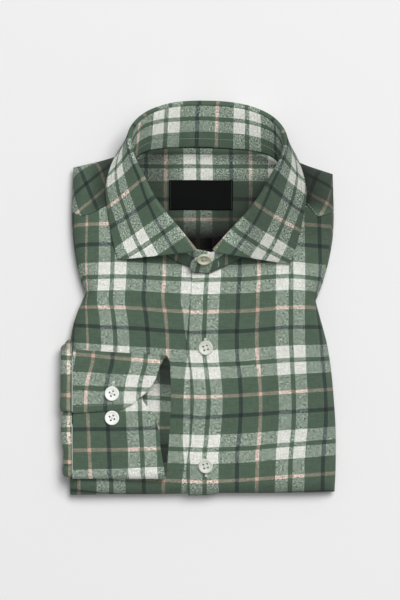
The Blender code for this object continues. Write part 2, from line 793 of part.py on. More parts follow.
def cuff_round(zone, share, along):
    """(y, height) of a place round the cuff's strip. along is 0 at the seam and 1 at the hand's far end."""
    turn = (mixed(CUFF_HOLLOW_SEAM, CUFF_HOLLOW_HAND, along) + CUFF_THICK) / 2
    top = CUFF_TOP_Y + CUFF_TOP_SLOPE_Y * along - turn
    low = CUFF_LOW_Y + turn
    way = math.pi * share
    if zone == 0:
        return mixed(CUFF_LOWER_FLAP_Y, low, share), 2 * turn
    if zone == 1:
        return low - turn * math.sin(way), turn * (1 + math.cos(way))
    if zone == 2:
        return mixed(low, top, share), 0.0
    if zone == 3:
        return top + turn * math.sin(way), turn * (1 - math.cos(way))
    y = mixed(top, CUFF_UPPER_FLAP_Y, share)
    return y, 2 * turn + smooth_step((top - y) / CUFF_LAP_RUN) * (CUFF_THICK + SEAM_GAP)


def cuff_point(zone, share, x):
    """A point of the middle of the cuff's cloth."""
    y, height = cuff_round(zone, share, (x - CUFF_SEAM_X) / (CUFF_FAR_X - CUFF_SEAM_X))
    return Vector((x, y, crown(x, y) + SEAM_GAP + CUFF_THICK / 2 + height))


def cuff(finish, where):
    points = []
    for zone, share in cuff_stations():
        hand_x = along_table(CUFF_HAND_EDGE, zone + share)
        xs = [mixed(CUFF_SEAM_X, hand_x, i / CUFF_ALONG) for i in range(CUFF_ALONG + 1)]
        points.append([cuff_point(zone, share, x) for x in xs])
    cloth_wall("cuff", points, CUFF_THICK, finish, where, offset=0.0)


def cuff_face(y):
    """The point of the cuff's outer face at a button, and the way it looks."""
    zone = 0 if y < CUFF_UPPER_FLAP_Y else 4
    shares = [i / 200 for i in range(200)]
    share = min(shares, key=lambda each: abs(cuff_point(zone, each, CUFF_BUTTON_X).y - y))
    point = cuff_point(zone, share, CUFF_BUTTON_X)
    along = cuff_point(zone, share, CUFF_BUTTON_X + BUTTON_RADIUS) - point
    across = cuff_point(zone, share + 0.05, CUFF_BUTTON_X) - point
    facing = across.cross(along).normalized()
    facing = facing if facing.z > 0 else -facing
    return point + facing * (CUFF_THICK / 2 + SEAM_GAP), facing


def thread_holes(name, where):
    """Four round cutters, square to the button's face."""
    shape = bmesh.new()
    for i in range(4):
        turn = math.radians(45 + 90 * i)
        hole = bmesh.ops.create_cone(
            shape,
            cap_ends=True,
            segments=6,
            radius1=BUTTON_HOLE_RADIUS * MM,
            radius2=BUTTON_HOLE_RADIUS * MM,
            depth=3 * BUTTON_THICK * MM,
        )
        shift = Vector((math.cos(turn), math.sin(turn), 0)) * BUTTON_HOLE_SPACING * MM
        bmesh.ops.translate(shape, verts=hole["verts"], vec=shift)
    mesh = bpy.data.meshes.new(name)
    shape.to_mesh(mesh)
    shape.free()
    return cutter_object(name, mesh, where)


def button(name, centre, facing, finish, where, cutters):
    """A round button with a raised rim and four holes, its back at centre, facing along a direction."""
    shape = bmesh.new()
    profile = [Vector((out * BUTTON_RADIUS, 0, up * BUTTON_THICK)) * MM for out, up in BUTTON_PROFILE]
    verts = [shape.verts.new(point) for point in profile]
    for first, second in zip(verts, verts[1:]):
        shape.edges.new((first, second))
    mesh = bpy.data.meshes.new(name)
    shape.to_mesh(mesh)
    shape.free()
    node = add_node(name, mesh, finish, where)
    screw = node.modifiers.new("turned", "SCREW")
    screw.steps = BUTTON_STEPS
    screw.render_steps = BUTTON_STEPS
    screw.use_merge_vertices = True
    screw.merge_threshold = 0.01 * MM
    holes = thread_holes(name + "_holes", cutters)
    for placed in (node, holes):
        placed.rotation_mode = "QUATERNION"
        placed.rotation_quaternion = facing.to_track_quat("Z", "Y")
        placed.location = (centre + Vector((BUTTON_LINE_X, 0, 0))) * MM
    cut(node, holes, "thread holes")


def buttons(finish, where, cutters):
    up = Vector((0, 0, 1))
    for i, y in enumerate(FRONT_BUTTONS_Y):
        z = body_height(0, y) + placket_lift(0) + SEAM_GAP
        button(f"front_button_{i + 1}", Vector((FRONT_BUTTON_X, y, z)), up, finish, where, cutters)
    for i, y in enumerate(CUFF_BUTTONS_Y):
        centre, facing = cuff_face(y)
        button(f"cuff_button_{i + 1}", centre, facing, finish, where, cutters)
    last = len(COLLAR_STATIONS) - 1
    seam, roll, _ = collar_station(last)
    top = band_top(last)
    facing = facing_out(seam, roll)
    centre = seam.lerp(top, 0.5) + facing * (BAND_LAP + BAND_THICK / 2 + BAND_BULGE + SEAM_GAP)
    centre.x = COLLAR_BUTTON_X
    button("collar_button", centre, facing, finish, where, cutters)


def main():
    clear_scene()
    shirt = collection("folded_shirt")
    cutters = collection("cutters")
    cloth = material("flannel", CLOTH_GREEN, 0.9)
    ivory = material("button", BUTTON_IVORY, 0.35)
    satin = material("label", LABEL_BLACK, 0.5)
    plug = neck_cutter(cutters)
    notch = sleeve_notch(cutters)
    folded_layers(cloth, shirt, plug, notch)
    fronts(cloth, shirt, plug)
    yoke(cloth, shirt, plug)
    inner_yoke(cloth, shirt)
    neck_label(satin, shirt)
    collar_band(cloth, shirt)
    collar_leaf(cloth, shirt)
    sleeve(cloth, shirt)
    cuff(cloth, shirt)
    buttons(ivory, shirt, cutters)


main()
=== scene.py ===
# %% [markdown]
# # A folded flannel shirt
# A checked flannel shirt lies folded on its back, buttoned, with the collar standing and one cuff brought to
# the front. The CAD solids of the same shirt are loaded first and never moved. Every cloth piece is then made
# again as a thin fine sheet on the solid's own form, because a sheet can carry soft creases, rounded edges
# and a check that follows the thread of the cloth.

import json
from math import atan2, cos, exp, hypot, pi, prod, radians, sin, sqrt, tau

import bpy
from mathutils import Matrix, Vector, noise

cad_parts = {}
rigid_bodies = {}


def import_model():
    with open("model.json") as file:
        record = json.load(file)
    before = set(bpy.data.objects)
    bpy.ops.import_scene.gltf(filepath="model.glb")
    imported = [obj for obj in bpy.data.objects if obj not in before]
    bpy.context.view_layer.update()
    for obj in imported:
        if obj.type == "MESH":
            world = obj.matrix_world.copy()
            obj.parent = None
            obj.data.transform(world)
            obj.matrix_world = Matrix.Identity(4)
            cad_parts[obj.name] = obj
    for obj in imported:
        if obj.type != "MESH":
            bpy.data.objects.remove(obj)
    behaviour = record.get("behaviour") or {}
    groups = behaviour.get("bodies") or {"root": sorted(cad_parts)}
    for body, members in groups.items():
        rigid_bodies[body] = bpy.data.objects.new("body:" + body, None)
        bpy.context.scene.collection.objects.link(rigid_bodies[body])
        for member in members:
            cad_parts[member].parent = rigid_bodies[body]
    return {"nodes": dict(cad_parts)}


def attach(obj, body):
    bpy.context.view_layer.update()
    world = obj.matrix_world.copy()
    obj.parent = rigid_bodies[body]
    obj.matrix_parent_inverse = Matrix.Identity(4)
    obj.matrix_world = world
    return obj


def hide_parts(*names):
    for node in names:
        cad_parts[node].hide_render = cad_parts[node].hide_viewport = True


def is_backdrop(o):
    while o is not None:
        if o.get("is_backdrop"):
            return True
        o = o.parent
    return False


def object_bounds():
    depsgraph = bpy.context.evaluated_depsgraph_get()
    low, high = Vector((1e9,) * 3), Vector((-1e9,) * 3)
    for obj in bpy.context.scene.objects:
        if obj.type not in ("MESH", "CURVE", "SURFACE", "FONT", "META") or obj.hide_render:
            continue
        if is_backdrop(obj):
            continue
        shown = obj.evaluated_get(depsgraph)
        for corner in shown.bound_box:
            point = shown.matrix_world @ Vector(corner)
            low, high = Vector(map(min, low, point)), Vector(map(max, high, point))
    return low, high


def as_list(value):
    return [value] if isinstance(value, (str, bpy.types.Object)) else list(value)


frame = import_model()
cad_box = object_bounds()
print("solids:", len(frame["nodes"]))

# %% [markdown]
# ## Small helpers
# Plan sizes are in millimetres from the line of the front buttons. A smooth curve through a short table of
# values gives every outline, so a handful of rows describes a long soft edge. The curve keeps the slope of
# its neighbours, as a flexible ruler does. A ramp is the soft step that blends one form into the next.

# %% Mixing, ramps and curves through tables
MM = 0.001
BUTTON_LINE = Vector((5.25, 0, 0))  # from the middle of the shirt to the line of its buttons


def clamped(share):
    return min(max(share, 0.0), 1.0)


def eased(share):
    share = clamped(share)
    return share * share * (3 - 2 * share)


def ramp(at, start, run):
    """A soft step from 0 to 1 that begins at start and ends a run further on. The run may be negative."""
    return eased((at - start) / run)


def mixed(first, second, share):
    return first + (second - first) * share


def in_steps(start, end, steps):
    """Values an even step apart, from start to end."""
    return [mixed(start, end, i / steps) for i in range(steps + 1)]


def curve(rows, at, column=1):
    """The value at a position, on a smooth curve through a table whose first column is the position."""

    def slope(first, second):
        return (second[column] - first[column]) / (second[0] - first[0])

    last = len(rows) - 1
    i = 0
    while i < last - 1 and at > rows[i + 1][0]:
        i += 1
    start, end = rows[i], rows[i + 1]
    width = end[0] - start[0]
    share = clamped((at - start[0]) / width)
    before = slope(rows[i - 1] if i > 0 else start, end)
    after = slope(start, rows[i + 2] if i + 2 <= last else end)
    square, cube = share * share, share**3
    return (
        (2 * cube - 3 * square + 1) * start[column]
        + (cube - 2 * square + share) * width * before
        + (3 * square - 2 * cube) * end[column]
        + (cube - square) * width * after
    )


def ripple(x, y, size, seed):
    """A soft wave from about -1 to 1, whose hills are some size apart."""
    return noise.noise(Vector((x / size, y / size, seed * 7.3)))


# %% New objects, meshes and materials
def placed(name, data, finish=None):
    made = bpy.data.objects.new(name, data)
    bpy.context.scene.collection.objects.link(made)
    if finish:
        data.materials.append(finish)
    return made


def new_mesh(name, verts, faces, uvs=(), smooth=True):
    """A mesh in metres. uvs are the places on the cloth of the faces' corners."""
    mesh = bpy.data.meshes.new(name)
    mesh.from_pydata(verts, [], faces)
    if uvs:
        mesh.uv_layers.new(name="cloth").data.foreach_set("uv", [value for uv in uvs for value in uv])
    if smooth:
        mesh.shade_smooth()
    return mesh


def new_material(name, **values):
    """A material, its tree and its shader's sockets. Values name sockets, with _ for a space."""
    made = bpy.data.materials.new(name)
    made.use_nodes = True
    sockets = made.node_tree.nodes["Principled BSDF"].inputs
    for key, value in values.items():
        sockets[key.replace("_", " ")].default_value = value
    return made, made.node_tree, sockets


# %% [markdown]
# ## Camera, table and light
# The shirt is photographed from straight above with a long lens, so hardly any perspective shows. The floor
# is a plain pale sheet. One broad soft light stands at the upper right, and the surroundings give the rest,
# which leaves a weak shadow at the left and below.

# %% The camera looks straight down
CAMERA_HEIGHT = 5.0
FRAME_HEIGHT = 0.504  # metres of table in the height of the picture
SENSOR_WIDTH = 36.0
CENTRE = Vector((0.00147, -0.00197, 0.0))
BODY_TOP = 0.022

camera_data = bpy.data.cameras.new("overhead")
camera_data.sensor_width = SENSOR_WIDTH
camera_data.lens = SENSOR_WIDTH * (CAMERA_HEIGHT - BODY_TOP) / FRAME_HEIGHT
camera_data.clip_end = 50
camera = placed("overhead", camera_data)
camera.location = CENTRE + Vector((0, 0, CAMERA_HEIGHT))
bpy.context.scene.camera = camera
print("lens mm:", round(camera_data.lens))

# %% The table
TABLE_HALF = 3
PAPER_TONE = (0.82, 0.82, 0.82, 1)

corners = [(x * TABLE_HALF, y * TABLE_HALF, 0) for x, y in ((-1, -1), (1, -1), (1, 1), (-1, 1))]
paper = new_material("pale_paper", Base_Color=PAPER_TONE, Roughness=0.9, Specular_IOR_Level=0.1)[0]
placed("table_top", new_mesh("table_top", corners, [(0, 1, 2, 3)], smooth=False), paper)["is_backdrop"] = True

# %% The light
LAMPS = (("window", (1.5, 2.5, 5.6), 2.9, 292.0), ("fill", (0.5, 0.6, 5.2), 3.2, 56.0))  # place, size, watts
SURROUNDINGS = 0.25

for name, place, size, watts in LAMPS:
    lamp = bpy.data.lights.new(name, "AREA")
    lamp.size, lamp.energy = size, watts
    holder = placed(name, lamp)
    holder.location = place
    holder.rotation_euler = (Vector(place) * -1).to_track_quat("-Z", "Y").to_euler()
world = bpy.data.worlds.new("studio")
world.use_nodes = True
background = world.node_tree.nodes["Background"].inputs
background["Color"].default_value = (1, 1, 1, 1)
background["Strength"].default_value = SURROUNDINGS
bpy.context.scene.world = world
bpy.context.scene.view_settings.view_transform = "Standard"

# %% [markdown]
# ## The cloth
# Brushed cotton twill. Its check is woven, not printed: each yarn keeps one colour for its whole length, and
# the colour that shows at a place is that of the yarn on top there. The same rule makes the pattern here. A
# colour ramp gives each lengthways yarn its colour, a second one gives each crossways yarn its colour, and
# the twill step picks between them. The fuzz of the yarn below comes through the brushed one on top, so the
# two colours are multiplied by powers that say how much of each shows. The pattern reads the piece's own UV
# map, in metres of flat cloth, so it follows the thread round folds and edges.

# %% Yarn colours and their order
GREEN = (0.069, 0.112, 0.075)
IVORY = (0.755, 0.765, 0.71)
NAVY = (0.009, 0.0165, 0.0165)
PINK = (0.63, 0.395, 0.32)
REPEAT = 71.4  # width of one whole check, in millimetres
YARNS = 170
BAR = (1.75, 12.1)  # from the middle of a pale pair to each pale bar's inner and outer edge
WARP_LINES = ((27.7, 1.75, NAVY), (44.2, 1.45, PINK))  # from the middle of the pale pair, half width
WEFT_LINES = ((26.9, 1.45, PINK), (43.9, 1.75, NAVY))


def stripe_stops(lines):
    """Where each colour starts, as (place from 0 to 1 in the repeat, colour)."""
    inner, outer = BAR
    stops = [(0.0, GREEN), (inner, IVORY), (outer, GREEN)]
    for middle, half, colour in lines:
        stops += [(middle - half, colour), (middle + half, GREEN)]
    stops += [(REPEAT - outer, IVORY), (REPEAT - inner, GREEN)]
    return [(place / REPEAT, colour) for place, colour in stops]


print("warp stripes:", [round(place, 3) for place, _ in stripe_stops(WARP_LINES)])

# %% [markdown]
# A node group needs many small sums. A few helpers keep the wiring readable: each adds one node, plugs what
# it is given into the inputs and hands back what comes out.

# %% Wiring helpers
def is_socket(value):
    return isinstance(value, bpy.types.NodeSocket)


def plug(sockets, values):
    """Give each input its value: a link from a socket, or else a number or a colour."""
    for key, value in values.items():
        if is_socket(value):
            value.id_data.links.new(value, sockets[key])
        else:
            sockets[key].default_value = value


def add(home, kind, inputs=(), **settings):
    """A new node in the tree that home is, or that home is a socket of."""
    node = home.id_data.nodes.new(kind)
    for name, value in settings.items():
        setattr(node, name, value)
    plug(node.inputs, dict(inputs))
    return node


def calc(operation, *values):
    """A Math node."""
    home = next(filter(is_socket, values))
    return add(home, "ShaderNodeMath", enumerate(values), operation=operation).outputs[0]


def blend(share, first, second, kind="MIX"):
    """A Mix node for colours."""
    home = next(filter(is_socket, (share, first)))
    inputs = {0: share, 6: first, 7: second}
    return add(home, "ShaderNodeMix", inputs, data_type="RGBA", blend_type=kind).outputs[2]


def cloudy(vector, scale, detail):
    """A Noise node."""
    return add(vector, "ShaderNodeTexNoise", {"Vector": vector, "Scale": scale, "Detail": detail}).outputs


def bumped(height, strength, distance):
    inputs = {"Height": height, "Strength": strength, "Distance": distance}
    return add(height, "ShaderNodeBump", inputs).outputs[0]


def colour_stops(place, stops):
    """A Color Ramp in steps, from (place, colour) pairs."""
    node = add(place, "ShaderNodeValToRGB", {"Fac": place})
    ramp_made = node.color_ramp
    ramp_made.interpolation = "CONSTANT"
    ramp_made.elements[0].position = 0.0
    ramp_made.elements[0].color = (*stops[0][1], 1)
    ramp_made.elements.remove(ramp_made.elements[1])
    for at, colour in stops[1:]:
        ramp_made.elements.new(at).color = (*colour, 1)
    return node.outputs["Color"]


def new_group(name, inputs, outputs):
    """A node group, what it is given and what it makes."""
    tree = bpy.data.node_groups.new(name, "ShaderNodeTree")
    for key, (kind, value) in inputs.items():
        tree.interface.new_socket(key, in_out="INPUT", socket_type="NodeSocket" + kind).default_value = value
    for key, kind in outputs.items():
        tree.interface.new_socket(key, in_out="OUTPUT", socket_type="NodeSocket" + kind)
    return tree, tree.nodes.new("NodeGroupInput").outputs, tree.nodes.new("NodeGroupOutput").inputs


# %% [markdown]
# ### The weave as one node group
# All cloth pieces share it. Input Cloth is the place on the flat cloth in metres. Yarns are counted by
# dividing by their spacing and rounding down. In a two-and-two twill the lengthways yarn is on top for two
# crossings and under for two, one yarn further on in each row, and that draws the fine diagonals.

# %% Colour of the weave at a place
YARN = REPEAT * MM / YARNS
UNEVEN_YARN = 0.26
YARN_GRAIN = (0.73, 120.0)  # how far apart neighbours are in the noise, and waves in a metre along a yarn
TOP_POWER = 0.66  # how much of the yarn on top shows, the rest being the yarn below
FLECK = 4.8  # how strongly the heathered flecks show where the two yarns differ
FLECK_SIZE = (0.00068, 0.0017)  # metres across and along a yarn
# How dark the painted shade gets where a point's shade value is 1.
SHADE_DEPTH = 0.75
PLAIN_FLECK = 0.07  # how much of the flecks shows where both yarns are alike
WANDER = (0.0007, 26.0)  # metres that yarns stray from straight, and waves in a metre
NAP = (900.0, 2.0, 0.8)  # scale, detail and height beside that of a yarn
FUZZ = (0.62, 0.64, 0.58, 1)
HAZE = 0.05  # how much of the fuzz shows


def yarn_number(length):
    return calc("FLOOR", calc("DIVIDE", length, YARN))


def stripe_colour(number, lines):
    place = calc("FRACT", calc("DIVIDE", calc("ADD", number, 0.5), float(YARNS)))
    return colour_stops(place, stripe_stops(lines))


def streaks(x, y, z=0.0):
    place = add(x, "ShaderNodeCombineXYZ", {"X": x, "Y": y, "Z": z}).outputs[0]
    return cloudy(place, 1.0, 1.0)["Fac"]


def yarn_shade(number, along, offset):
    """Brightness of one yarn, a little different from its neighbours and uneven along its length."""
    apart, fine = YARN_GRAIN
    grain = streaks(calc("MULTIPLY", number, apart), offset, calc("MULTIPLY", along, fine))
    return calc("MULTIPLY_ADD", calc("SUBTRACT", grain, 0.5), UNEVEN_YARN * 4, 1.0)


def shaded(colour, shade):
    grey = add(shade, "ShaderNodeCombineColor", {"Red": shade, "Green": shade, "Blue": shade})
    return blend(1.0, colour, grey.outputs[0], "MULTIPLY")


def fleck(across, along):
    """Short streaks that lie along one set of yarns, from 0 to 1."""
    narrow, long = FLECK_SIZE
    return streaks(calc("DIVIDE", across, narrow), calc("DIVIDE", along, long))


def build_weave():
    tree, given, made = new_group(
        "brushed_twill",
        {"Cloth": ("Vector", (0, 0, 0)), "Haze": ("Float", HAZE), "Shade": ("Float", 0.0)},
        {"Color": "Color", "Height": "Float", "Nap": "Float"},
    )
    cloth = given["Cloth"]
    inputs = {0: cloudy(cloth, WANDER[1], 0.0)["Color"], 1: (0.5, 0.5, 0.5)}
    centred = add(tree, "ShaderNodeVectorMath", inputs, operation="SUBTRACT").outputs[0]
    inputs = {0: centred, 1: (WANDER[0] * 2,) * 3, 2: cloth}
    moved = add(tree, "ShaderNodeVectorMath", inputs, operation="MULTIPLY_ADD").outputs[0]
    across, along, _ = add(tree, "ShaderNodeSeparateXYZ", {"Vector": moved}).outputs
    warp, weft = yarn_number(across), yarn_number(along)
    warp_colour = shaded(stripe_colour(warp, WARP_LINES), yarn_shade(warp, along, 3.1))
    weft_down = calc("MULTIPLY", weft, -1.0)
    weft_colour = shaded(stripe_colour(weft_down, WEFT_LINES), yarn_shade(weft, across, 9.7))
    on_top = calc("LESS_THAN", calc("FLOORED_MODULO", calc("SUBTRACT", warp, weft), 4.0), 1.5)
    above = blend(on_top, weft_colour, warp_colour)
    below = blend(on_top, warp_colour, weft_colour)
    parts = [
        add(tree, "ShaderNodeGamma", {"Color": colour, "Gamma": power}).outputs[0]
        for colour, power in ((above, TOP_POWER), (below, 1 - TOP_POWER))
    ]
    woven = blend(1.0, *parts, "MULTIPLY")
    apart = blend(1.0, warp_colour, weft_colour, "DIFFERENCE")
    contrast = add(tree, "ShaderNodeSeparateColor", {"Color": apart}).outputs["Green"]
    flecks = calc("ADD", fleck(across, along), fleck(along, across))
    spread = calc("MULTIPLY", calc("SUBTRACT", flecks, 1.0), FLECK)
    dimmed = calc("MULTIPLY_ADD", calc("ADD", contrast, PLAIN_FLECK), spread, 1.0)
    # Painted shade: the woven colour is darkened by the shade value kept at each point.
    sheltered = calc("SUBTRACT", 1.0, calc("MULTIPLY", given["Shade"], SHADE_DEPTH))
    woven = shaded(woven, calc("MULTIPLY", dimmed, sheltered))
    nap = cloudy(cloth, *NAP[:2])["Fac"]
    colour = blend(calc("MULTIPLY", nap, given["Haze"]), woven, FUZZ)
    weft_round, warp_round = (
        calc("ABSOLUTE", calc("SINE", calc("MULTIPLY", at, pi / YARN))) for at in (along, across)
    )
    inputs = {0: on_top, 2: weft_round, 3: warp_round}
    rounded = add(tree, "ShaderNodeMix", inputs, data_type="FLOAT").outputs[0]
    plug(made, {"Color": colour, "Height": calc("MULTIPLY_ADD", nap, NAP[2], rounded), "Nap": nap})
    return tree


WEAVE = build_weave()
print("yarn spacing mm:", round(YARN / MM, 3))

# %% [markdown]
# ### Flannel
# The brushed surface scatters light softly, so roughness is high and a weak sheen lights the edges. A Bump
# node reads the height of the yarns and of the nap.

# %% The flannel material
ROUGHNESS = (0.82, 0.12)  # the least, and how much the nap adds
YARN_BUMP = (0.35, 0.0002)  # strength, and height in metres


def flannel():
    made, tree, shader = new_material(
        "flannel", Sheen_Weight=0.06, Sheen_Roughness=0.55, Specular_IOR_Level=0.12
    )
    cloth = add(tree, "ShaderNodeUVMap", uv_map="cloth").outputs["UV"]
    # The shade value of each point, for the painted shade and painted light.
    shade = add(tree, "ShaderNodeAttribute", attribute_name="shade").outputs["Fac"]
    inputs = {"Cloth": cloth, "Haze": HAZE, "Shade": shade}
    weave = add(tree, "ShaderNodeGroup", inputs, node_tree=WEAVE).outputs
    rough = calc("MULTIPLY_ADD", weave["Nap"], *reversed(ROUGHNESS))
    bump = bumped(weave["Height"], *YARN_BUMP)
    plug(shader, {"Base Color": weave["Color"], "Roughness": rough, "Normal": bump})
    return made


FLANNEL = flannel()

# %% [markdown]
# ## Sheets of cloth
# A piece of cloth is a grid of points. Each point also gets its place on the flat cloth, which becomes the
# UV map. Solidify then gives the sheet its thickness and a bevel rounds its edges, as folded edges are. A
# value kept at each point says how sheltered from light it is: 0 in the open, 1 in deep shade, and below 0
# where the cloth faces the window. The cloth's colour is darkened or lightened by it: painted shade and
# painted light.

# %% A sheet from a grid of points
EDGE_ROUND = 0.42
EDGE_ANGLE = 58  # degrees, from which an edge is rounded
EDGE_SEGMENTS = 2
X, Y, Z = range(3)


def select_only(piece):
    for other in bpy.context.selected_objects:
        other.select_set(False)
    piece.select_set(True)
    bpy.context.view_layer.objects.active = piece


def apply_modifiers(piece):
    select_only(piece)
    for modifier in list(piece.modifiers):
        bpy.ops.object.modifier_apply(modifier=modifier.name)


def cut_away(piece, cutter):
    hole = piece.modifiers.new("cut", "BOOLEAN")
    hole.operation = "DIFFERENCE"
    hole.object = cutter
    apply_modifiers(piece)


def in_metres(points):
    return [(point + BUTTON_LINE) * MM for point in points]


def grid_faces(rows, columns, closed):
    for i in range(rows - 1):
        for j in range(columns if closed else columns - 1):
            yield (i, j), (i, j + 1), (i + 1, j + 1), (i + 1, j)


def thicken(piece, thick, offset, edge):
    wall = piece.modifiers.new("thickness", "SOLIDIFY")
    wall.thickness = thick * MM
    wall.offset = offset
    wall.use_even_offset = True
    rounded = piece.modifiers.new("soft edge", "BEVEL")
    rounded.width = edge * MM
    rounded.segments = EDGE_SEGMENTS
    rounded.limit_method = "ANGLE"
    rounded.angle_limit = radians(EDGE_ANGLE)
    apply_modifiers(piece)


def shades(*rows):
    """How sheltered a place is: a sum of rows, each a strength and the (axis, start, run) ramps on it."""

    def shade_at(*place):
        total = 0.0
        for strength, *ramps in rows:
            total += strength * prod(ramp(place[axis], start, run) for axis, start, run in ramps)
        return total

    return shade_at


def shelter(piece, shade_at):
    values = []
    for vertex in piece.data.vertices:
        x, y, z = vertex.co / MM
        values.append(shade_at(x - BUTTON_LINE.x, y, z))
    piece.data.attributes.new("shade", "FLOAT", "POINT").data.foreach_set("value", values)


def dress(piece, node):
    """The piece rides with the shirt and stands for this solid."""
    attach(piece, "root")
    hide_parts(node)
    print(piece.name, "faces:", len(piece.data.polygons))
    return piece


def sheet(
    name, node, points, cloth, thick, offset=-1.0, edge=EDGE_ROUND,
    closed=False, cutter=None, shade_at=None, finish=FLANNEL,
):
    """A finished piece. points and cloth are rows of places in mm, in space and on the flat cloth."""
    columns = len(points[0])
    faces, uvs = [], []
    for corners in grid_faces(len(points), columns, closed):
        faces.append([i * columns + j % columns for i, j in corners])
        uvs += [Vector(cloth[i][j]) * MM for i, j in corners]
    mesh = new_mesh(name, in_metres(point for row in points for point in row), faces, uvs)
    piece = placed(name, mesh, finish)
    thicken(piece, thick, offset, edge)
    if cutter:
        cut_away(piece, cutter)
    if shade_at:
        shelter(piece, shade_at)
    return dress(piece, node)


# %% [markdown]
# ### Lengths along the cloth
# A folded edge hides some cloth. So that the check runs on evenly round it, places on the flat cloth are
# measured along the sheet itself, from a row or column that lies flat.

# %% Lengths along a row and along a column
def running_lengths(points, start):
    """Distance along a line of points, counted from the point with index start."""
    total = [0.0]
    for first, second in zip(points, points[1:]):
        total.append(total[-1] + (second - first).length)
    return [value - total[start] for value in total]


def flat_places(points, row, column):
    """(u, v) of each grid point along the cloth. It is the plan place where the column and the row meet."""
    across = [running_lengths(line, column) for line in points]
    along = [running_lengths(line, row) for line in zip(*points)]
    return [
        [(line[column].x + across[i][j], points[row][j].y + along[j][i]) for j in range(len(line))]
        for i, line in enumerate(points)
    ]


# %% [markdown]
# ## The folded body
# These are the outlines of the solid: the two side folds with the small notch where each front turns under,
# the hem fold, the shoulder fold and the yoke seam.

# %% The outline of the folded body
PANEL_THICK = 1.3
SEAM_GAP = 0.3
LAYER_GAP = 0.5
CORE_GAP = 0.9
EDGE_TOP = 20.5
CROWN_RISE = 4.0
WRAP_LOW = 8.0
FOLD_RADIUS = 11.0
BODY_HALF_WIDTH = 110.0
BODY_HALF_LENGTH = 165.0
NOTCH_Y = {-1: 3.9, 1: -1.1}  # the left side and the right side
LOWER_FOLD = {  # y, half width
    -1: (
        (-165.5, 113), (-145, 113.5), (-86, 113.1), (-36, 112.6), (-23, 110.5), (-14.6, 107.9), (-6.2, 104.4),
        (3.9, 99.8),
    ),
    1: (
        (-162.4, 109.6), (-144.8, 110.5), (-111, 110.5), (-86, 109), (-60.8, 106.7), (-35.6, 102.7),
        (-14.6, 96.8), (-1.1, 93.2),
    ),
}
UPPER_FOLD = {
    -1: (
        (3.9, 99.8), (14.8, 103.7), (27.4, 107.1), (40, 109.5), (52.6, 111), (69.4, 111.8), (90.4, 111.2),
        (110.6, 110.4),
    ),
    1: (
        (-1.1, 93.2), (6.4, 96.3), (14.8, 99.4), (27.4, 103.3), (40, 106.3), (52.6, 108.2), (69.4, 108.9),
        (104.3, 108),
    ),
}
HEM_FOLD = ((-113, -166.1), (-20, -165.1), (0, -164.6), (80, -164.3), (110, -163.3))  # x, y
SHOULDER_FOLD = (
    (-113, 109), (-76, 118.5), (-62, 126.5), (-47, 132.5), (-25, 136), (0, 137), (25, 136), (50, 131),
    (66, 123), (80, 113.9), (110, 103.4),
)
YOKE_SEAM = (
    (-113, 72), (-101, 68.6), (-82, 77), (-65, 82), (0, 84), (65, 82), (86, 77), (95, 68.6), (110, 72),
)
PLACKET_EDGE_X = -11.8
UNDERLAP_X = -3.5
PLACKET_LIFT = PANEL_THICK + LAYER_GAP
PLACKET_FLAT_X = 2.0  # from the placket's edge to here the front lies at its full lift
PLACKET_BLEND_X = 16.0
PLACKET_BLEND_LOW_X = -24.0

# %% [markdown]
# ### The surface of the body
# Near a fold the surface drops on a quarter round. In between, it is a low crown with the soft unevenness
# that folded flannel always has: long faint waves, a few creases and a ridge where the placket lies.

# %% Height of the body's surface
CREASES = (  # from x, y to x, y, half width of the crease, height
    (94, -2, 99, -30, 2.6, -0.9), (99, -22, 103.5, -60, 4, 0.5), (-96, 2, -101, -34, 3, 0.7),
    (-99, 8, -84, 30, 6, 0.5), (95, 4, 74, 26, 7, 0.6), (-11, -36, -30, -18, 5, 0.45),
    (-10, -50, -32, -66, 5, 0.4), (10, -46, 42, -64, 8, 0.35), (10, -140, 46, -128, 8, 0.4),
    (-9, -136, -30, -118, 6, 0.45), (24, 8, 70, 2, 10, 0.4), (-70, 14, -30, 2, 9, -0.4),
    (60, -150, 66, -90, 9, 0.3),
)
WAVE_SIZE = 46.0
WAVE_HEIGHT = 0.5
CALM_CUFF = ((-18, -12), (-30, -12))  # where the waves start to fade and over what run, across and along
CALM_COLLAR = ((100, -12), (8, 14))


def side_of(across):
    """-1 for the left and 1 for the right."""
    return -1 if across < 0 else 1


def half_width(side, y):
    """Distance from the button line to the folded edge."""
    return curve((LOWER_FOLD if y < NOTCH_Y[side] else UPPER_FOLD)[side], y)


def fold_round(distance, inset):
    """How much of its full height the body has at this distance from a folded edge."""
    share = clamped(distance / (FOLD_RADIUS - inset))
    return sqrt(1 - (1 - share) ** 2)


def crown(x, y):
    across = 1 - min(1.0, (x / BODY_HALF_WIDTH) ** 2)
    along = 1 - min(1.0, (y / BODY_HALF_LENGTH) ** 2)
    return EDGE_TOP + CROWN_RISE * across * along


def crease_height(x, y):
    height = 0.0
    for x0, y0, x1, y1, half, rise in CREASES:
        run = (x1 - x0) ** 2 + (y1 - y0) ** 2
        near = clamped(((x - x0) * (x1 - x0) + (y - y0) * (y1 - y0)) / run)
        away = hypot(x - mixed(x0, x1, near), y - mixed(y0, y1, near)) / half
        if away < 3:
            height += rise * exp(-away * away) * (0.4 + 0.6 * sin(pi * near))
    return height


def softness(x, y):
    """Creases and waves. They fade where the cuff, the collar and the buttons rest on the body."""
    waves = ripple(x, y, WAVE_SIZE, 1) + 0.5 * ripple(x, y, WAVE_SIZE / 2.3, 2)
    below_cuff = ramp(x, *CALM_CUFF[0]) * ramp(y, *CALM_CUFF[1])
    below_collar = ramp(abs(x), *CALM_COLLAR[0]) * ramp(y, *CALM_COLLAR[1])
    return (crease_height(x, y) + WAVE_HEIGHT * waves) * (1 - below_cuff) * (1 - below_collar)


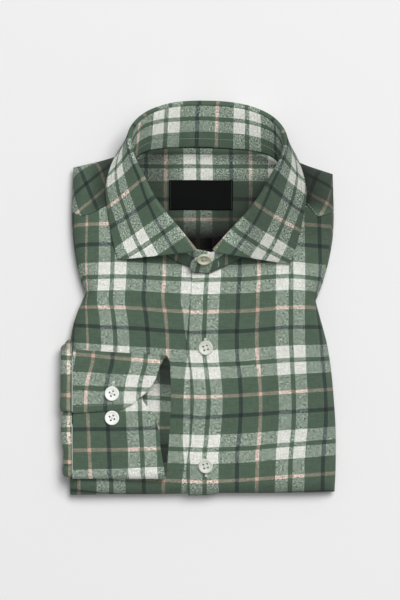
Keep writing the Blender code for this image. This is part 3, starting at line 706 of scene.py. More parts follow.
def body_height(x, y, inset=0.0):
    share = (
        fold_round(half_width(side_of(x), y) - inset - abs(x), inset)
        * fold_round(y - curve(HEM_FOLD, x) - inset, inset)
        * fold_round(curve(SHOULDER_FOLD, x) - inset - y, inset)
    )
    return WRAP_LOW + (crown(x, y) - inset - WRAP_LOW) * share


def placket_lift(x):
    """How much higher the front that overlaps lies, near the buttons."""
    rise = ramp(x, PLACKET_BLEND_LOW_X, PLACKET_EDGE_X - PLACKET_BLEND_LOW_X)
    return PLACKET_LIFT * rise * ramp(x, PLACKET_BLEND_X, PLACKET_FLAT_X - PLACKET_BLEND_X)


def body_point(across, low, high, up, inset=0.0):
    """A point of the body: across is -1 to 1 from fold to fold, up is 0 to 1 from one line to another."""
    side = side_of(across)
    edge_x = side * BODY_HALF_WIDTH
    edge_y = mixed(curve(low, edge_x), curve(high, edge_x), up)
    x = across * (half_width(side, edge_y) - inset)
    start = curve(low, x) + (inset if low is HEM_FOLD else 0.0)
    end = curve(high, x) - (inset if high is SHOULDER_FOLD else 0.0)
    y = mixed(start, end, up)
    return Vector((x, y, body_height(x, y, inset)))


def fold_knots(length, spacing, at_start, at_end):
    """Shares from 0 to 1 along a length, close together where the cloth rounds a fold at either end."""
    turns = [FOLD_RADIUS * (1 - cos(radians(turn))) / length for turn in range(0, 85, 9)]
    low = FOLD_RADIUS / length if at_start else 0.0
    high = 1 - FOLD_RADIUS / length if at_end else 1.0
    middle = in_steps(low, high, max(1, round((high - low) * length / spacing)))
    end = [1 - share for share in reversed(turns)] if at_end else []
    return (turns if at_start else []) + middle + end


def with_knots(knots, *places):
    """The knots with these places among them, in place of the nearest one."""
    nearest = min(range(1, len(knots) - 1), key=lambda i: abs(knots[i] - places[0]))
    return knots[:nearest] + sorted(places) + knots[nearest + 1 :]


def notch_share(side, high):
    """How far up a side fold its notch is, as a share of the way from the hem to a line."""
    low_y = curve(HEM_FOLD, side * BODY_HALF_WIDTH)
    high_y = curve(high, side * BODY_HALF_WIDTH)
    return (NOTCH_Y[side] - low_y) / (high_y - low_y)


print("height in the middle of the body:", round(body_height(0, 0), 1))

# %% [markdown]
# ### The neckline
# Fronts, yoke and folded layers share one neckline under the collar. A plug in its shape cuts it out of each
# of them with a Boolean, so all their edges match.

# %% The collar's outline
BAND_THICK = 1.7
LEAF_THICK = 1.7
COLLAR_AXIS_X = 1.5
COLLAR_TURN = radians(-1.5)
COLLAR_TURN_Y = 98.8
COLLAR_STATIONS = (  # x, y of the neck seam, x, y, z of the roll line, x, y, lift of the leaf's free edge
    (0, 126.5, 0, 163, 43.5, 0, 160, 2.4), (17.6, 126.2, 17.6, 162.3, 43.5, 17.8, 159.3, 2.4),
    (35.3, 125.2, 34.4, 159.6, 43.8, 34.8, 156.3, 2.8), (52, 121.6, 50.2, 153.2, 44.5, 51.5, 149.2, 4.2),
    (62.2, 113.8, 59.9, 143, 45.4, 65, 138, 8.5), (66.4, 101.3, 62.4, 130, 46.3, 75.2, 123.8, 17.5),
    (66.4, 87.1, 58, 115.6, 46.5, 82.3, 104.7, 0), (61.7, 72.8, 50.4, 101.3, 47, 84.2, 90.4, 0),
    (53.8, 57.2, 42.4, 86.2, 47, 82.4, 74.5, 0), (40.7, 42.1, 31.9, 71.9, 46.6, 79.8, 58.5, 0),
    (24.4, 30.8, 19.3, 57.7, 46.2, 76, 42.5, 0), (4.2, 22.8, 5.5, 41.7, 45.5, 71.8, 29.9, 0),
)
SIDEWAYS_COLUMNS = (0, 2, 5)
LAST_STATION = len(COLLAR_STATIONS) - 1
LEAF_LANDS = 5  # up to this station the leaf's edge hangs clear, and past the next one it rests on the body


def collar_placed(x, y, z):
    """A point of the collar, turned a little on the shirt as the folded collar lies."""
    y -= COLLAR_TURN_Y
    turned_x = COLLAR_AXIS_X + x * cos(COLLAR_TURN) - y * sin(COLLAR_TURN)
    return Vector((turned_x, COLLAR_TURN_Y + x * sin(COLLAR_TURN) + y * cos(COLLAR_TURN), z))


def band_foot_z(seam):
    return body_height(seam.x, seam.y) + placket_lift(seam.x) + SEAM_GAP + BAND_THICK / 2


def collar_table():
    """The stations of both halves in one table, from the left leaf's end round to the right leaf's end."""
    table = []
    for i in range(-LAST_STATION, LAST_STATION + 1):
        row = list(COLLAR_STATIONS[abs(i)])
        for column in SIDEWAYS_COLUMNS:
            row[column] *= side_of(i)
        table.append((i, *row))
    return table


COLLAR_TABLE = collar_table()


def collar_station(at):
    """Three points of the collar at a station: on the neck seam, the roll line and the leaf's free edge."""
    values = [curve(COLLAR_TABLE, at, column) for column in range(1, 9)]
    seam = collar_placed(*values[:2], 0.0)
    roll = collar_placed(*values[2:5])
    edge = collar_placed(*values[5:])
    seam.z = band_foot_z(seam)
    if abs(at) > LEAF_LANDS:
        rest = crown(edge.x, edge.y) + SEAM_GAP * 2 + LEAF_THICK / 2
        lifted = curve(COLLAR_TABLE, LEAF_LANDS * side_of(at), 8)
        edge.z = mixed(lifted, rest, eased(abs(at) - LEAF_LANDS))
    return seam, roll, edge


# %% The neckline plug
NECK_INSET = 2.2
FLOOR_BACK_Z = 17.4
FLOOR_FRONT_Z = 9.0
NECK_PLUG_TOP = 36.0
NECK_BACK_Y = 126.0
NECK_FRONT_Y = 22.0


def stations(spacing):
    return [i * spacing - LAST_STATION for i in range(round(2 * LAST_STATION / spacing) + 1)]


def neck_outline(inset):
    """The neck seam's loop, moved in by an inset, from the front of the neck round and back."""
    centre = Vector((COLLAR_AXIS_X, (NECK_BACK_Y + NECK_FRONT_Y) / 2, 0))
    points = []
    for at in stations(0.25):
        seam = collar_station(at)[0]
        seam.z = 0
        points.append(seam + (centre - seam).normalized() * inset)
    return points


def floor_height(y):
    """Height of the hollow's floor inside the collar."""
    return mixed(FLOOR_FRONT_Z, FLOOR_BACK_Z, (y - NECK_FRONT_Y) / (NECK_BACK_Y - NECK_FRONT_Y))


def normals_outward():
    """Edit mode is on. Every face looks out of the piece, and object mode is back."""
    bpy.ops.mesh.select_all(action="SELECT")
    bpy.ops.mesh.normals_make_consistent(inside=False)
    bpy.ops.object.mode_set(mode="OBJECT")


def neck_plug():
    outline = neck_outline(NECK_INSET)
    count = len(outline)
    low = in_metres(point + Vector((0, 0, floor_height(point.y))) for point in outline)
    high = [Vector((point.x, point.y, NECK_PLUG_TOP * MM)) for point in low]
    sides = [(i, (i + 1) % count, count + (i + 1) % count, count + i) for i in range(count)]
    caps = [tuple(reversed(range(count))), tuple(range(count, 2 * count))]
    plug_made = placed("neckline", new_mesh("neckline", low + high, sides + caps, smooth=False), FLANNEL)
    select_only(plug_made)
    bpy.ops.object.mode_set(mode="EDIT")
    normals_outward()
    return plug_made


NECKLINE = neck_plug()
print("neckline points:", len(NECKLINE.data.vertices) // 2)

# %% [markdown]
# ## The fronts
# The left front laps over the right one, so its edge is a double fold at the placket. Both wrap round the
# side folds and the hem fold.

# %% Where the check lies on each front
OVER_DROOP = (  # x, rise of the crossways lines at the collar, and the same at the hem
    (-14, 0, 0), (1.3, 0, 0), (29, 0.5, 1.3), (46, 2.1, 2.3), (60, 3.4, 3.4), (73, 4.2, 4.2), (95, 4.2, 6),
    (112, 4.3, 7.3),
)
OVER_DRIFT = (  # y, shift sideways near the placket and near the side fold
    (-158, -1.5, -1.2), (-140, -1.2, -0.6), (-131, -1.5, 0.1), (-122, -0.2, 0.8), (-109, 0.7, 1.8),
    (-94, 1.7, 2.4), (-79, 1.65, 2.5), (-64, 0.35, 1.4), (-49, -1.6, 0.5), (-38, -2, 0.1), (-26, -1.75, 0),
    (-11, -0.8, -0.2), (4, -0.4, 0), (19, 0.4, 0.2), (40, 0, 0),
)
UNDER_DROOP = (
    (-114, 4.6, 9.5), (-105, 4.5, 8), (-77.7, 4, 3.4), (-50.8, 2.3, 1.7), (-18.4, 0, 0), (-3, -0.6, -0.4),
)
UNDER_DRIFT = ((-158, -1.2), (-86, 0.9), (-40, 2.2), (-16, 0.7), (-2, -1.4), (13, -0.7), (33, -0.4))
BUTTON_PULLS = ((-42, 2.5, 9, 17), (-140, 2.5, 12, 10))  # y, shift, how far it reaches up and down
OVER_PAIR = (1.3, 14.8)  # x and y where the middles of a lengthways and a crossways pale pair meet
UNDER_PAIR = (-77.5, 15.2)
COLLAR_TO_HEM = (15.0, 143.0)  # y where the droop is that at the collar, and how far below it is the hem's
DRIFT_CHANGE = (30, 45)  # x where the shift near the placket starts to turn into the other, and the run
SIDE_SQUEEZE = 5.2
SQUEEZE_FADE = ((-90, -14), (-120, 90))  # starts and runs across and along
PULL_FADE = (-26, 14)


def on_front(u, v, x, y, pair, droop, drift):
    """Place on the flat cloth, counted from the crossing of two pale pairs."""
    top, run = COLLAR_TO_HEM
    rise = mixed(curve(droop, x, 1), curve(droop, x, 2), clamped((top - y) / run))
    shift = mixed(curve(drift, y, 1), curve(drift, y, -1), ramp(x, *DRIFT_CHANGE))
    return u - pair[0] - shift, v - pair[1] - rise


def side_pull(x, y):
    """How far a button pulls the front below it sideways, and extra cloth where the left side rolls away."""
    pulls = 0.0
    for at, shift, up, down in BUTTON_PULLS:
        pulls += shift * exp(-(((y - at) / (up if y > at else down)) ** 2))
    squeeze = SIDE_SQUEEZE * ramp(x, *SQUEEZE_FADE[0]) * ramp(y, *SQUEEZE_FADE[1])
    return squeeze + ramp(x, *PULL_FADE) * pulls


# %% The two fronts
GRID = 2.2  # spacing of the grid on the flat parts
PLACKET_WAVE = (  # y, how far the placket's edge wanders
    (-165, -1.4), (-150, -2.2), (-140, -2.5), (-127, -0.6), (-112, 0.5), (-86, 0.8), (-64, 0.6), (-54, -0.6),
    (-42, -2.6), (-30, -1.9), (-14, -0.9), (0, 0.2), (25, 0),
)
WAVE_REACH = 9


def softened(point, lift=0.0):
    """The point, raised by the creases and waves where the body is not rolling under."""
    top = crown(point.x, point.y) - WRAP_LOW
    point.z += softness(point.x, point.y) * clamped((point.z - lift - WRAP_LOW) / top) ** 3
    return point


def front_points(side, inner_x, lift_at):
    low_y, high_y = HEM_FOLD[0][1], YOKE_SEAM[0][1]
    ups = with_knots(fold_knots(high_y - low_y, GRID, True, False), notch_share(side, YOKE_SEAM))
    start = inner_x * side / BODY_HALF_WIDTH
    outs = fold_knots(BODY_HALF_WIDTH * (1 - start), GRID, False, True)
    points = []
    for up in ups:
        row = []
        for share in outs:
            out = mixed(start, 1.0, share) * side
            lift = lift_at(body_point(out, HEM_FOLD, YOKE_SEAM, up).x)
            point = softened(body_point(out, HEM_FOLD, YOKE_SEAM, up, -lift), lift)
            if side > 0:
                point.x += curve(PLACKET_WAVE, point.y) * eased(1 - abs(point.x - inner_x) / WAVE_REACH)
            row.append(point)
        points.append(row[::side])
    return points


def front(name, node, side, inner_x, lift_at, pair, droop, drift, shade_at=None):
    points = front_points(side, inner_x, lift_at)
    places = flat_places(points, len(points) // 2, 0 if side > 0 else len(points[0]) - 1)
    cloth = []
    for line, row in zip(places, points):
        cloth.append([])
        for (u, v), (x, y, _) in zip(line, row):
            pull = side_pull(x, y) if side < 0 else 0.0
            cloth[-1].append(on_front(u - pull, v, x, y, pair, droop, drift))
    return sheet(name, node, points, cloth, PANEL_THICK, cutter=NECKLINE, shade_at=shade_at)


# A little darker at the right, away from the window, and most beside the collar.
front_shelter = shades((0.4, (Y, 38, 24), (X, 72, 12)), (0.1, (X, 40, 40)))
front_under = front(
    "right_front", "front_under", -1, UNDERLAP_X, lambda x: 0.0, UNDER_PAIR, UNDER_DROOP, UNDER_DRIFT
)
front_over = front(
    "left_front", "front_over", 1, PLACKET_EDGE_X, placket_lift, OVER_PAIR, OVER_DROOP, OVER_DRIFT,
    front_shelter,
)

# %% [markdown]
# ## The yoke
# The yoke comes over both shoulders from the back. Its grain follows the back, so at the front its check
# stands at a slant to that of the fronts. It is cut in two halves that meet in the middle of the back.

# %% The yoke
YOKE_GAP = 0.35
YOKE_DEPTH = 40.0
YOKE_GRAIN = {  # for each side: weights of x and y, constant and stretch, for u and then for v
    -1: ((0.888, 0.46, 42.6, 0.96), (0.61, -0.79, 135.2, 0.84)),
    1: ((0.88, -0.47, -43.6, 1.1), (-0.45, -0.89, 135.7, 0.84)),
}


BESIDE_COLLAR = (Y, 68, 14)
YOKE_SHADES = {
    -1: shades((1.0, BESIDE_COLLAR), (-0.98, BESIDE_COLLAR, (X, -80, -24))),
    1: shades((1.2, BESIDE_COLLAR), (-0.44, BESIDE_COLLAR, (X, 82, 22))),
}


def on_yoke(u, v, side):
    start = (WARP_LINES[0][0], -WEFT_LINES[1][0])
    x = u + BUTTON_LINE.x
    return [(a * x + b * v + c) / stretch + at for (a, b, c, stretch), at in zip(YOKE_GRAIN[side], start)]


def yoke_shelter(*place):
    """The collar keeps the light off the yoke, most at the right, away from the window."""
    return YOKE_SHADES[side_of(place[X])](*place)


def across_body(spacing):
    return [2 * share - 1 for share in fold_knots(2 * BODY_HALF_WIDTH, spacing, True, True)]


def yoke():
    outs = across_body(GRID)
    low = [(x, y + YOKE_GAP) for x, y in YOKE_SEAM]
    ups = fold_knots(YOKE_DEPTH, GRID, False, True)
    points = [[softened(body_point(out, low, SHOULDER_FOLD, up)) for out in outs] for up in ups]
    cloth = [
        [on_yoke(u, v, side_of(point.x)) for (u, v), point in zip(line, row)]
        for line, row in zip(flat_places(points, 2, len(outs) // 2), points)
    ]
    return sheet("yoke_outer", "yoke", points, cloth, PANEL_THICK, cutter=NECKLINE, shade_at=yoke_shelter)


yoke_outer = yoke()

# %% [markdown]
# ## The layers folded out of sight
# Back, sleeve and tails lie folded inside. Only their rounded edges show, one above the other, below the
# outermost layer. The grid of the top is carried down through a profile of three soft rolls, and each roll
# has its own piece of the check, since each is another part of the shirt.

# %% The stack of folded layers
LAYERS_SHOWN = 3
LAYERS_TOP = WRAP_LOW - 1.6
LAYER_GROOVE = 0.9
ROLL_STEPS = 6
ROLL_FULLNESS = 0.7  # 1 is a round roll, less is a fuller one
LAYER_SHIFTS = ((0, 0), (23, 41), (52, 17))
UNDERSIDE_SHIFT = Vector((9, 30, 0))
UNEVEN_LAYERS = (0.7, 31.0)  # height and size of the unevenness
STACK_GRID = 5.0


def roll_profile(inset):
    """(height, how far out, layer) down the side, through three rolls to the flat underside."""
    layer = LAYERS_TOP / LAYERS_SHOWN
    profile = [(LAYERS_TOP + LAYER_GROOVE / 4, -LAYER_GROOVE, 0)]
    for i in range(LAYERS_SHOWN):
        for step in range(1, ROLL_STEPS + 1):
            turn = pi * step / ROLL_STEPS
            bulge = sin(turn) ** ROLL_FULLNESS if step < ROLL_STEPS else 0.0
            height = LAYERS_TOP - layer * (i + (1 - cos(turn)) / 2)
            profile.append((height, mixed(-LAYER_GROOVE, inset, bulge), i))
    profile[-1] = (0.0, inset - LAYER_GROOVE, LAYERS_SHOWN - 1)
    return profile


def rim_places(rows, columns):
    """Grid places round the rim, starting at the first row's first column."""
    rim = [(0, j) for j in range(columns)] + [(i, columns - 1) for i in range(1, rows)]
    rim += [(rows - 1, j) for j in range(columns - 2, -1, -1)]
    return rim + [(i, 0) for i in range(rows - 2, 0, -1)]


def folded_stack():
    inset = PANEL_THICK + CORE_GAP
    length = curve(SHOULDER_FOLD, 0.0) - curve(HEM_FOLD, 0.0)
    notches = [notch_share(side, SHOULDER_FOLD) for side in (-1, 1)]
    ups = with_knots(fold_knots(length, STACK_GRID, True, True), *notches)
    outs = across_body(STACK_GRID)
    top = [[body_point(out, HEM_FOLD, SHOULDER_FOLD, up, inset + 0.5) for out in outs] for up in ups]
    columns = len(outs)
    verts = [point for row in top for point in row]
    faces, uvs = [], []
    for corners in grid_faces(len(top), columns, False):
        faces.append([i * columns + j for i, j in corners])
        uvs += [top[i][j] for i, j in corners]
    ring = [i * columns + j for i, j in rim_places(len(top), columns)]
    base = [verts[index] for index in ring]
    ways = [Vector((p.x * BODY_HALF_LENGTH / BODY_HALF_WIDTH, p.y, 0)).normalized() for p in base]
    travelled, last = 0.0, (base[0].z, 0.0)
    for height, out, layer in roll_profile(inset):
        fresh = list(range(len(verts), len(verts) + len(ring)))
        for point, way in zip(base, ways):
            rise, size = UNEVEN_LAYERS
            uneven = rise * ripple(point.x, point.y, size, 10 + layer) if out > 0 else 0.0
            place = point + way * (out + uneven)
            place.z = height
            verts.append(place)
        before = travelled
        travelled += hypot(height - last[0], out - last[1])
        last = (height, out)
        for k in range(len(ring)):
            n = (k + 1) % len(ring)
            faces.append([ring[n], ring[k], fresh[k], fresh[n]])
            for index, run in ((n, before), (k, before), (k, travelled), (n, travelled)):
                uvs.append(base[index].xy + ways[index].xy * run + Vector(LAYER_SHIFTS[layer]))
        ring = fresh
    faces.append(ring)
    uvs += [verts[index] + UNDERSIDE_SHIFT for index in ring]
    mesh = new_mesh("folded_stack", in_metres(verts), faces, [(uv[0] * MM, uv[1] * MM) for uv in uvs])
    return placed("folded_stack", mesh, FLANNEL)


stack = folded_stack()
print("faces in the stack:", len(stack.data.polygons))

# %% Room in the stack for the neck and the sleeve
SLEEVE_TOP_Y = -40.5
SLEEVE_LOW_Y = -150.6
SLEEVE_OUTER_X = -121.0
SLEEVE_UNDER_X = -92.0
NOTCH_TOP_Z = 5.4
NOTCH_MARGIN = 1.2


def sleeve_room():
    """A block where the sleeve comes out from under the stack."""
    low = Vector((SLEEVE_OUTER_X - NOTCH_MARGIN, SLEEVE_LOW_Y - NOTCH_MARGIN, -NOTCH_TOP_Z))
    high = Vector((SLEEVE_UNDER_X + NOTCH_MARGIN, SLEEVE_TOP_Y + NOTCH_MARGIN, NOTCH_TOP_Z))
    bpy.ops.mesh.primitive_cube_add(size=1, location=((low + high) / 2 + BUTTON_LINE) * MM)
    block = bpy.context.object
    block.scale = (high - low) * MM
    return block


room = sleeve_room()
cut_away(stack, NECKLINE)
cut_away(stack, room)
bpy.data.objects.remove(room)
dress(stack, "folded_layers")

# %% [markdown]
# ## Inside the neck
# Between the collar's sides the inside of the yoke shows, with the wrong side of the cloth up, so its check
# is a mirror image. It sinks a little in the middle. A small woven label is sewn on by its ends. It is left
# plain and black.

# %% The inside of the yoke
INSIDE_X = 5.45  # added to x for the place across the cloth
INSIDE_ROWS = ((20, 90.6), (100, 10.6), (110.6, 0), (120.6, -12.3), (127, -22))  # y, place along the cloth
INSIDE_ENDS = (44.0, 112.0)  # y where the sheet's lowest and highest rows leave the sides
INSIDE_BEND = 30  # how far from the ends the rows start to bend
SEAM_INSETS = (3.1, 1.05)  # how far inside the collar's seam the sheet ends, deep down and where it is sewn
RIM_KNOTS = (0, 0.8, 1.6, 2.6, 3.8, 5.4, 7.5)
INSIDE_GRID = (30, 40)  # steps along and across between them
SEWN_RISE = 0.28
SEWN_FROM = (92, 14)  # y where the sheet's edge starts to rise to the seam, and the run
SEWN_CLIMB = ((7.5, -5.9), (76, 16))  # the same for its height: away from the edge, and along


def inside_outline():
    """The sheet's edge. At the back it lies over the cut edges of the layers, up to the band."""
    deep, sewn = (neck_outline(inset) for inset in SEAM_INSETS)
    return [low.lerp(high, ramp(low.y, *SEWN_FROM)) for low, high in zip(deep, sewn)]


def crossings(outline, axis, at):
    """The two places where a loop crosses a line of equal x (axis 0) or of equal y (axis 1)."""
    found = []
    for first, second in zip(outline, outline[1:] + outline[:1]):
        if (first[axis] - at) * (second[axis] - at) < 0:
            share = (at - first[axis]) / (second[axis] - first[axis])
            found.append(mixed(first[1 - axis], second[1 - axis], share))
    return min(found), max(found)


def rim_knots(length, steps):
    """Places from 0 to a length, close together at both ends, where the cloth climbs to its seam."""
    inner = length - 2 * RIM_KNOTS[-1]
    middle = [RIM_KNOTS[-1] + inner * i / steps for i in range(1, steps)]
    return [*RIM_KNOTS, *middle, *(length - knot for knot in reversed(RIM_KNOTS))]


def inside_height(x, y):
    """Height of the inner yoke's upper face: a slope, with soft waves."""
    return floor_height(y) + LAYER_GAP + PANEL_THICK + 0.35 * ripple(x, y, 24.0, 5)


def sewn_height(x, y, away):
    """The same height, but climbing over the layers' cut edges to the collar's seam at the back."""
    share = ramp(away, *SEWN_CLIMB[0]) * ramp(y, *SEWN_CLIMB[1])
    return mixed(inside_height(x, y), body_height(x, y) + PANEL_THICK + SEWN_RISE, share)


def inside_shelter(x, y, _):
    """Painted shade from the collar: darker at the left under its edge, to the front, and to the right of the
    label.
    """
    light = 1.0
    for shade in (
        0.8 * ramp(x, -14, -26),  # at the left
        0.92 * ramp(y, 81, -23),  # to the front
        0.76 * ramp(x, -4, 20) * ramp(y, 110, -18),  # at the right of the label
        0.5 * ramp(x, 22, 14) * ramp(y, 106, 10),  # in the corner above it
        0.14 + 0.18 * ramp(y, 119, 4),  # at the back
    ):
        light *= 1 - shade
    return 1 - light + 0.42 * ramp(y, 62, -12)


def inner_yoke():
    outline = inside_outline()
    low, high = INSIDE_ENDS
    points = []
    for run in rim_knots(high - low, INSIDE_GRID[0]):
        side_y = low + run
        left, right = crossings(outline, 1, side_y)
        row = []
        for step in rim_knots(right - left, INSIDE_GRID[1]):
            x = left + step
            nearest, farthest = crossings(outline, 0, min(max(x, left + 0.1), right - 0.1))
            y = side_y + max(0.0, farthest - high) * ramp(side_y, high - INSIDE_BEND, INSIDE_BEND)
            y -= max(0.0, low - nearest) * ramp(side_y, low + INSIDE_BEND, -INSIDE_BEND)
            away = min(step, right - left - step, run, high - low - run)
            row.append(Vector((x, y, sewn_height(x, y, away))))
        points.append(row)
    cloth = [[(point.x + INSIDE_X, curve(INSIDE_ROWS, point.y)) for point in row] for row in points]
    return sheet("yoke_inside", "inner_yoke", points, cloth, PANEL_THICK, shade_at=inside_shelter)


yoke_inside = inner_yoke()

# %% The bare label
LABEL_LEFT_X = -29.8
LABEL_RIGHT_X = 23.9
LABEL_TOP_Y = 98.8
LABEL_LOW_Y = 73.6
LABEL_THICK = 0.8
LABEL_EDGE = 0.25
LABEL_GRID = (16, 34)
SATIN_RIB = 0.45  # millimetres between the ribs of the satin
SATIN_BLACK = (0.0024, 0.0027, 0.0029, 1)
SATIN_BUMP = (0.4, 0.00006)  # strength, and height in metres


def satin():
    """Black satin: fine ribs, a little shine."""
    made, tree, shader = new_material(
        "black_satin", Base_Color=SATIN_BLACK, Roughness=0.5, Specular_IOR_Level=0.05
    )
    cloth = add(tree, "ShaderNodeUVMap", uv_map="cloth").outputs["UV"]
    along = add(tree, "ShaderNodeSeparateXYZ", {"Vector": cloth}).outputs["Y"]
    rib = calc("SINE", calc("MULTIPLY", along, tau / (SATIN_RIB * MM)))
    plug(shader, {"Normal": bumped(rib, *SATIN_BUMP)})
    return made


def label():
    rows, columns = LABEL_GRID
    points = []
    for i, y in enumerate(in_steps(LABEL_LOW_Y, LABEL_TOP_Y, rows)):
        row = []
        for x in in_steps(LABEL_LEFT_X, LABEL_RIGHT_X, columns):
            x += 0.25 * ripple(y, i, 12.0, 6)
            y_here = y + 0.35 * ripple(x, 0, 26.0, 7)
            row.append(Vector((x, y_here, inside_height(x, y_here) + SEAM_GAP + LABEL_THICK)))
        points.append(row)
    cloth = [[point.xy for point in row] for row in points]
    return sheet(
        "bare_label", "neck_label", points, cloth, LABEL_THICK, edge=LABEL_EDGE, finish=satin()
    )


bare_label = label()

# %% [markdown]
# ## The collar
# A shirt collar has two parts. The band stands round the neck and buttons at the front. The leaf is sewn to
# the band's top and turns over on the roll line. Both have interlining, so they stay smooth and hold a curve.

# %% Sections across the collar
ROLL_STRAIGHT = 2.2
ROLL_RADIUS = 2.5
TIGHTER = 0.7  # how much tighter the cloth's roll is than the solid's, with its outer side in one place
LEAF_BULGE = 1.2
LEAF_PULL = (  # station, how far the free edge is drawn in towards the neck
    (-7.5, 0), (-6, 1.2), (-5, 2.8), (-4, 3.3), (-3, 3.2), (-2, 1.8), (-1, 0), (1, 0), (2, 1), (3, 2.2),
    (4, 2.5), (5, 2.5), (6, 1.4), (7.5, 0),
)
LEAF_ROLL_ROWS = 12
LEAF_ROWS = 20
BAND_LEAF_GAP = 0.6
BAND_TALLER = 1.4
PADDED_EDGE = 0.6
STATIONS = stations(0.125)


def roll_frame(at):
    """At a station of the roll line: the ways up the band and out of the neck, both square to the line."""
    seam, roll, edge = collar_station(at)
    along = (collar_station(at + 0.2)[1] - collar_station(at - 0.2)[1]).normalized()
    up = roll - seam
    up = (up - along * up.dot(along)).normalized()
    out = along.cross(up)
    return up, out if out.dot(edge - seam) > 0 else -out


def band_top(at):
    """Where the band ends and the leaf's roll begins."""
    up, out = roll_frame(at)
    return collar_station(at)[1] - up * (ROLL_STRAIGHT + ROLL_RADIUS - BAND_TALLER) + out * 2 * TIGHTER


def facing_out(seam, roll):
    """The way that the outer face of the band looks at the front of the neck."""
    slope = roll - seam
    return Vector((0, -slope.z, slope.y)).normalized()


def leaf_section(at):
    """Points from the top of the band over the roll and down to the leaf's free edge, at a station."""
    up, out = roll_frame(at)
    pull = curve(LEAF_PULL, at)
    edge = collar_station(at)[2] - Vector((out.x, out.y, 0)).normalized() * pull
    start = band_top(at) + up * BAND_LEAF_GAP
    radius = ROLL_RADIUS - TIGHTER - 0.2 * pull
    centre = start + up * (ROLL_STRAIGHT - BAND_LEAF_GAP - BAND_TALLER) + out * radius
    sideways, upward = (edge - centre).dot(out), (edge - centre).dot(up)
    straight = sqrt(sideways**2 + upward**2 - radius**2)
    turn_end = atan2(sideways * straight + upward * radius, upward * straight - sideways * radius) % tau
    points = [start]
    for turn in in_steps(0.0, turn_end, LEAF_ROLL_ROWS):
        points.append(centre - out * radius * cos(turn) + up * radius * sin(turn))
    leaves_roll = points[-1]
    bulge_way = up * sin(turn_end) * -1 + out * cos(turn_end)
    for share in in_steps(0.0, 1.0, LEAF_ROWS)[1:]:
        bulge = (LEAF_BULGE - 0.4 * pull) * sin(pi * share) * (1 - share * 0.5)
        points.append(leaves_roll.lerp(edge, share) - bulge_way * bulge)
    return points


# %% [markdown]
# ### The leaf
# Its grain runs along the collar. Seen from the middle of the back, the cross lines of the check reach the
# roll and the free edge at these stations. The free edge is cut at a slant to the lengthwise lines, so the
# green margin outside the light pair widens towards the points.

# %% The leaf's check
LEAF_CROSS = (  # cloth from the middle of the back, station at the roll, station at the free edge
    (-203, -11, -12.6), (-178.5, -9.7, -11.1), (-150.8, -8.15, -9.1), (-134.3, -7.15, -8.1),
    (-107.1, -5.55, -6.35), (-35.7, -1.85, -2.05), (35.7, 1.85, 2.05), (107.1, 5.7, 6.35), (134.8, 7.3, 8.05),
    (151.3, 8.3, 9), (178.5, 9.8, 10.85), (203, 11, 12.4),
)
PAIR_MIDDLE = 35.7
LEAF_MARGIN = ((0, 0.5), (107, 1.5), (134, 4.5), (151, 7.5), (168, 9), (178, 10), (206, 12))
LEAF_ROLL_LINE = ((0, 34), (107, 34), (134, 35.5), (151, 39.5), (167, 43.5), (178, 45), (206, 47))


def leaf_cloth(at, section):
    """Places on the cloth down one section: from the lengthwise line at the roll to that at the free edge."""
    at_roll, at_edge = (curve([(row[column], row[0]) for row in LEAF_CROSS], at) for column in (1, 2))
    lengths = running_lengths(section, len(section) - 1)
    places = []
    for length in lengths:
        along = mixed(at_edge, at_roll, min(1.0, length / lengths[LEAF_ROLL_ROWS]))
        free = -BAR[1] - curve(LEAF_MARGIN, abs(along))
        across = mixed(free, curve(LEAF_ROLL_LINE, abs(along)), length / lengths[1])
        places.append((across, along - PAIR_MIDDLE))
    return places


# Lighter towards the window at the left, and darker at the right.
leaf_shelter = shades((-0.22, (Y, 150, -30)), (0.55, (Y, 150, -30), (X, 20, 20)))


def collar_leaf():
    sections = [leaf_section(at) for at in STATIONS]
    cloth = [leaf_cloth(at, section) for at, section in zip(STATIONS, sections)]
    return sheet("leaf", "collar_leaf", sections, cloth, LEAF_THICK, 0.0, PADDED_EDGE, shade_at=leaf_shelter)


leaf = collar_leaf()

# %% [markdown]
# ### The band
# At the back its inner side shows, at the front its outer side with the rounded end that carries the
# button. The right end lies outside the left one.

# %% The band
BAND_BULGE = 0.8
BAND_REACH = 13.5
BAND_LAP = BAND_THICK + 2 * SEAM_GAP
BAND_END = (  # share of the reach, shares of the height at the lower and the upper edge
    (0.15, 0, 0.985), (0.3, 0, 0.955), (0.45, 0, 0.92), (0.6, 0, 0.88), (0.72, 0.02, 0.83),
    (0.82, 0.06, 0.77), (0.9, 0.13, 0.7), (0.96, 0.22, 0.61), (0.99, 0.31, 0.53), (1, 0.38, 0.46),
)
BAND_ROWS = 14
BAND_CHECK = (26.7, 37.0, 1.04)  # height of the light pair, shift and stretch along the band
BAND_EASE = {-1: 34.0, 1: -28.4}
TAB_DIP = 0.12  # how much lower the outer end's upper edge lies at its tip, as a share of its height
band_shelter = shades((-0.08,))  # a little lighter all over, since it faces the window


def band_column(foot, top, sideways, low=0.0, high=1.0):
    points = []
    for share in in_steps(low, high, BAND_ROWS):
        point = foot.lerp(top, share) + sideways
        point.z += BAND_BULGE * sin(pi * share)
        points.append(point)
    return points


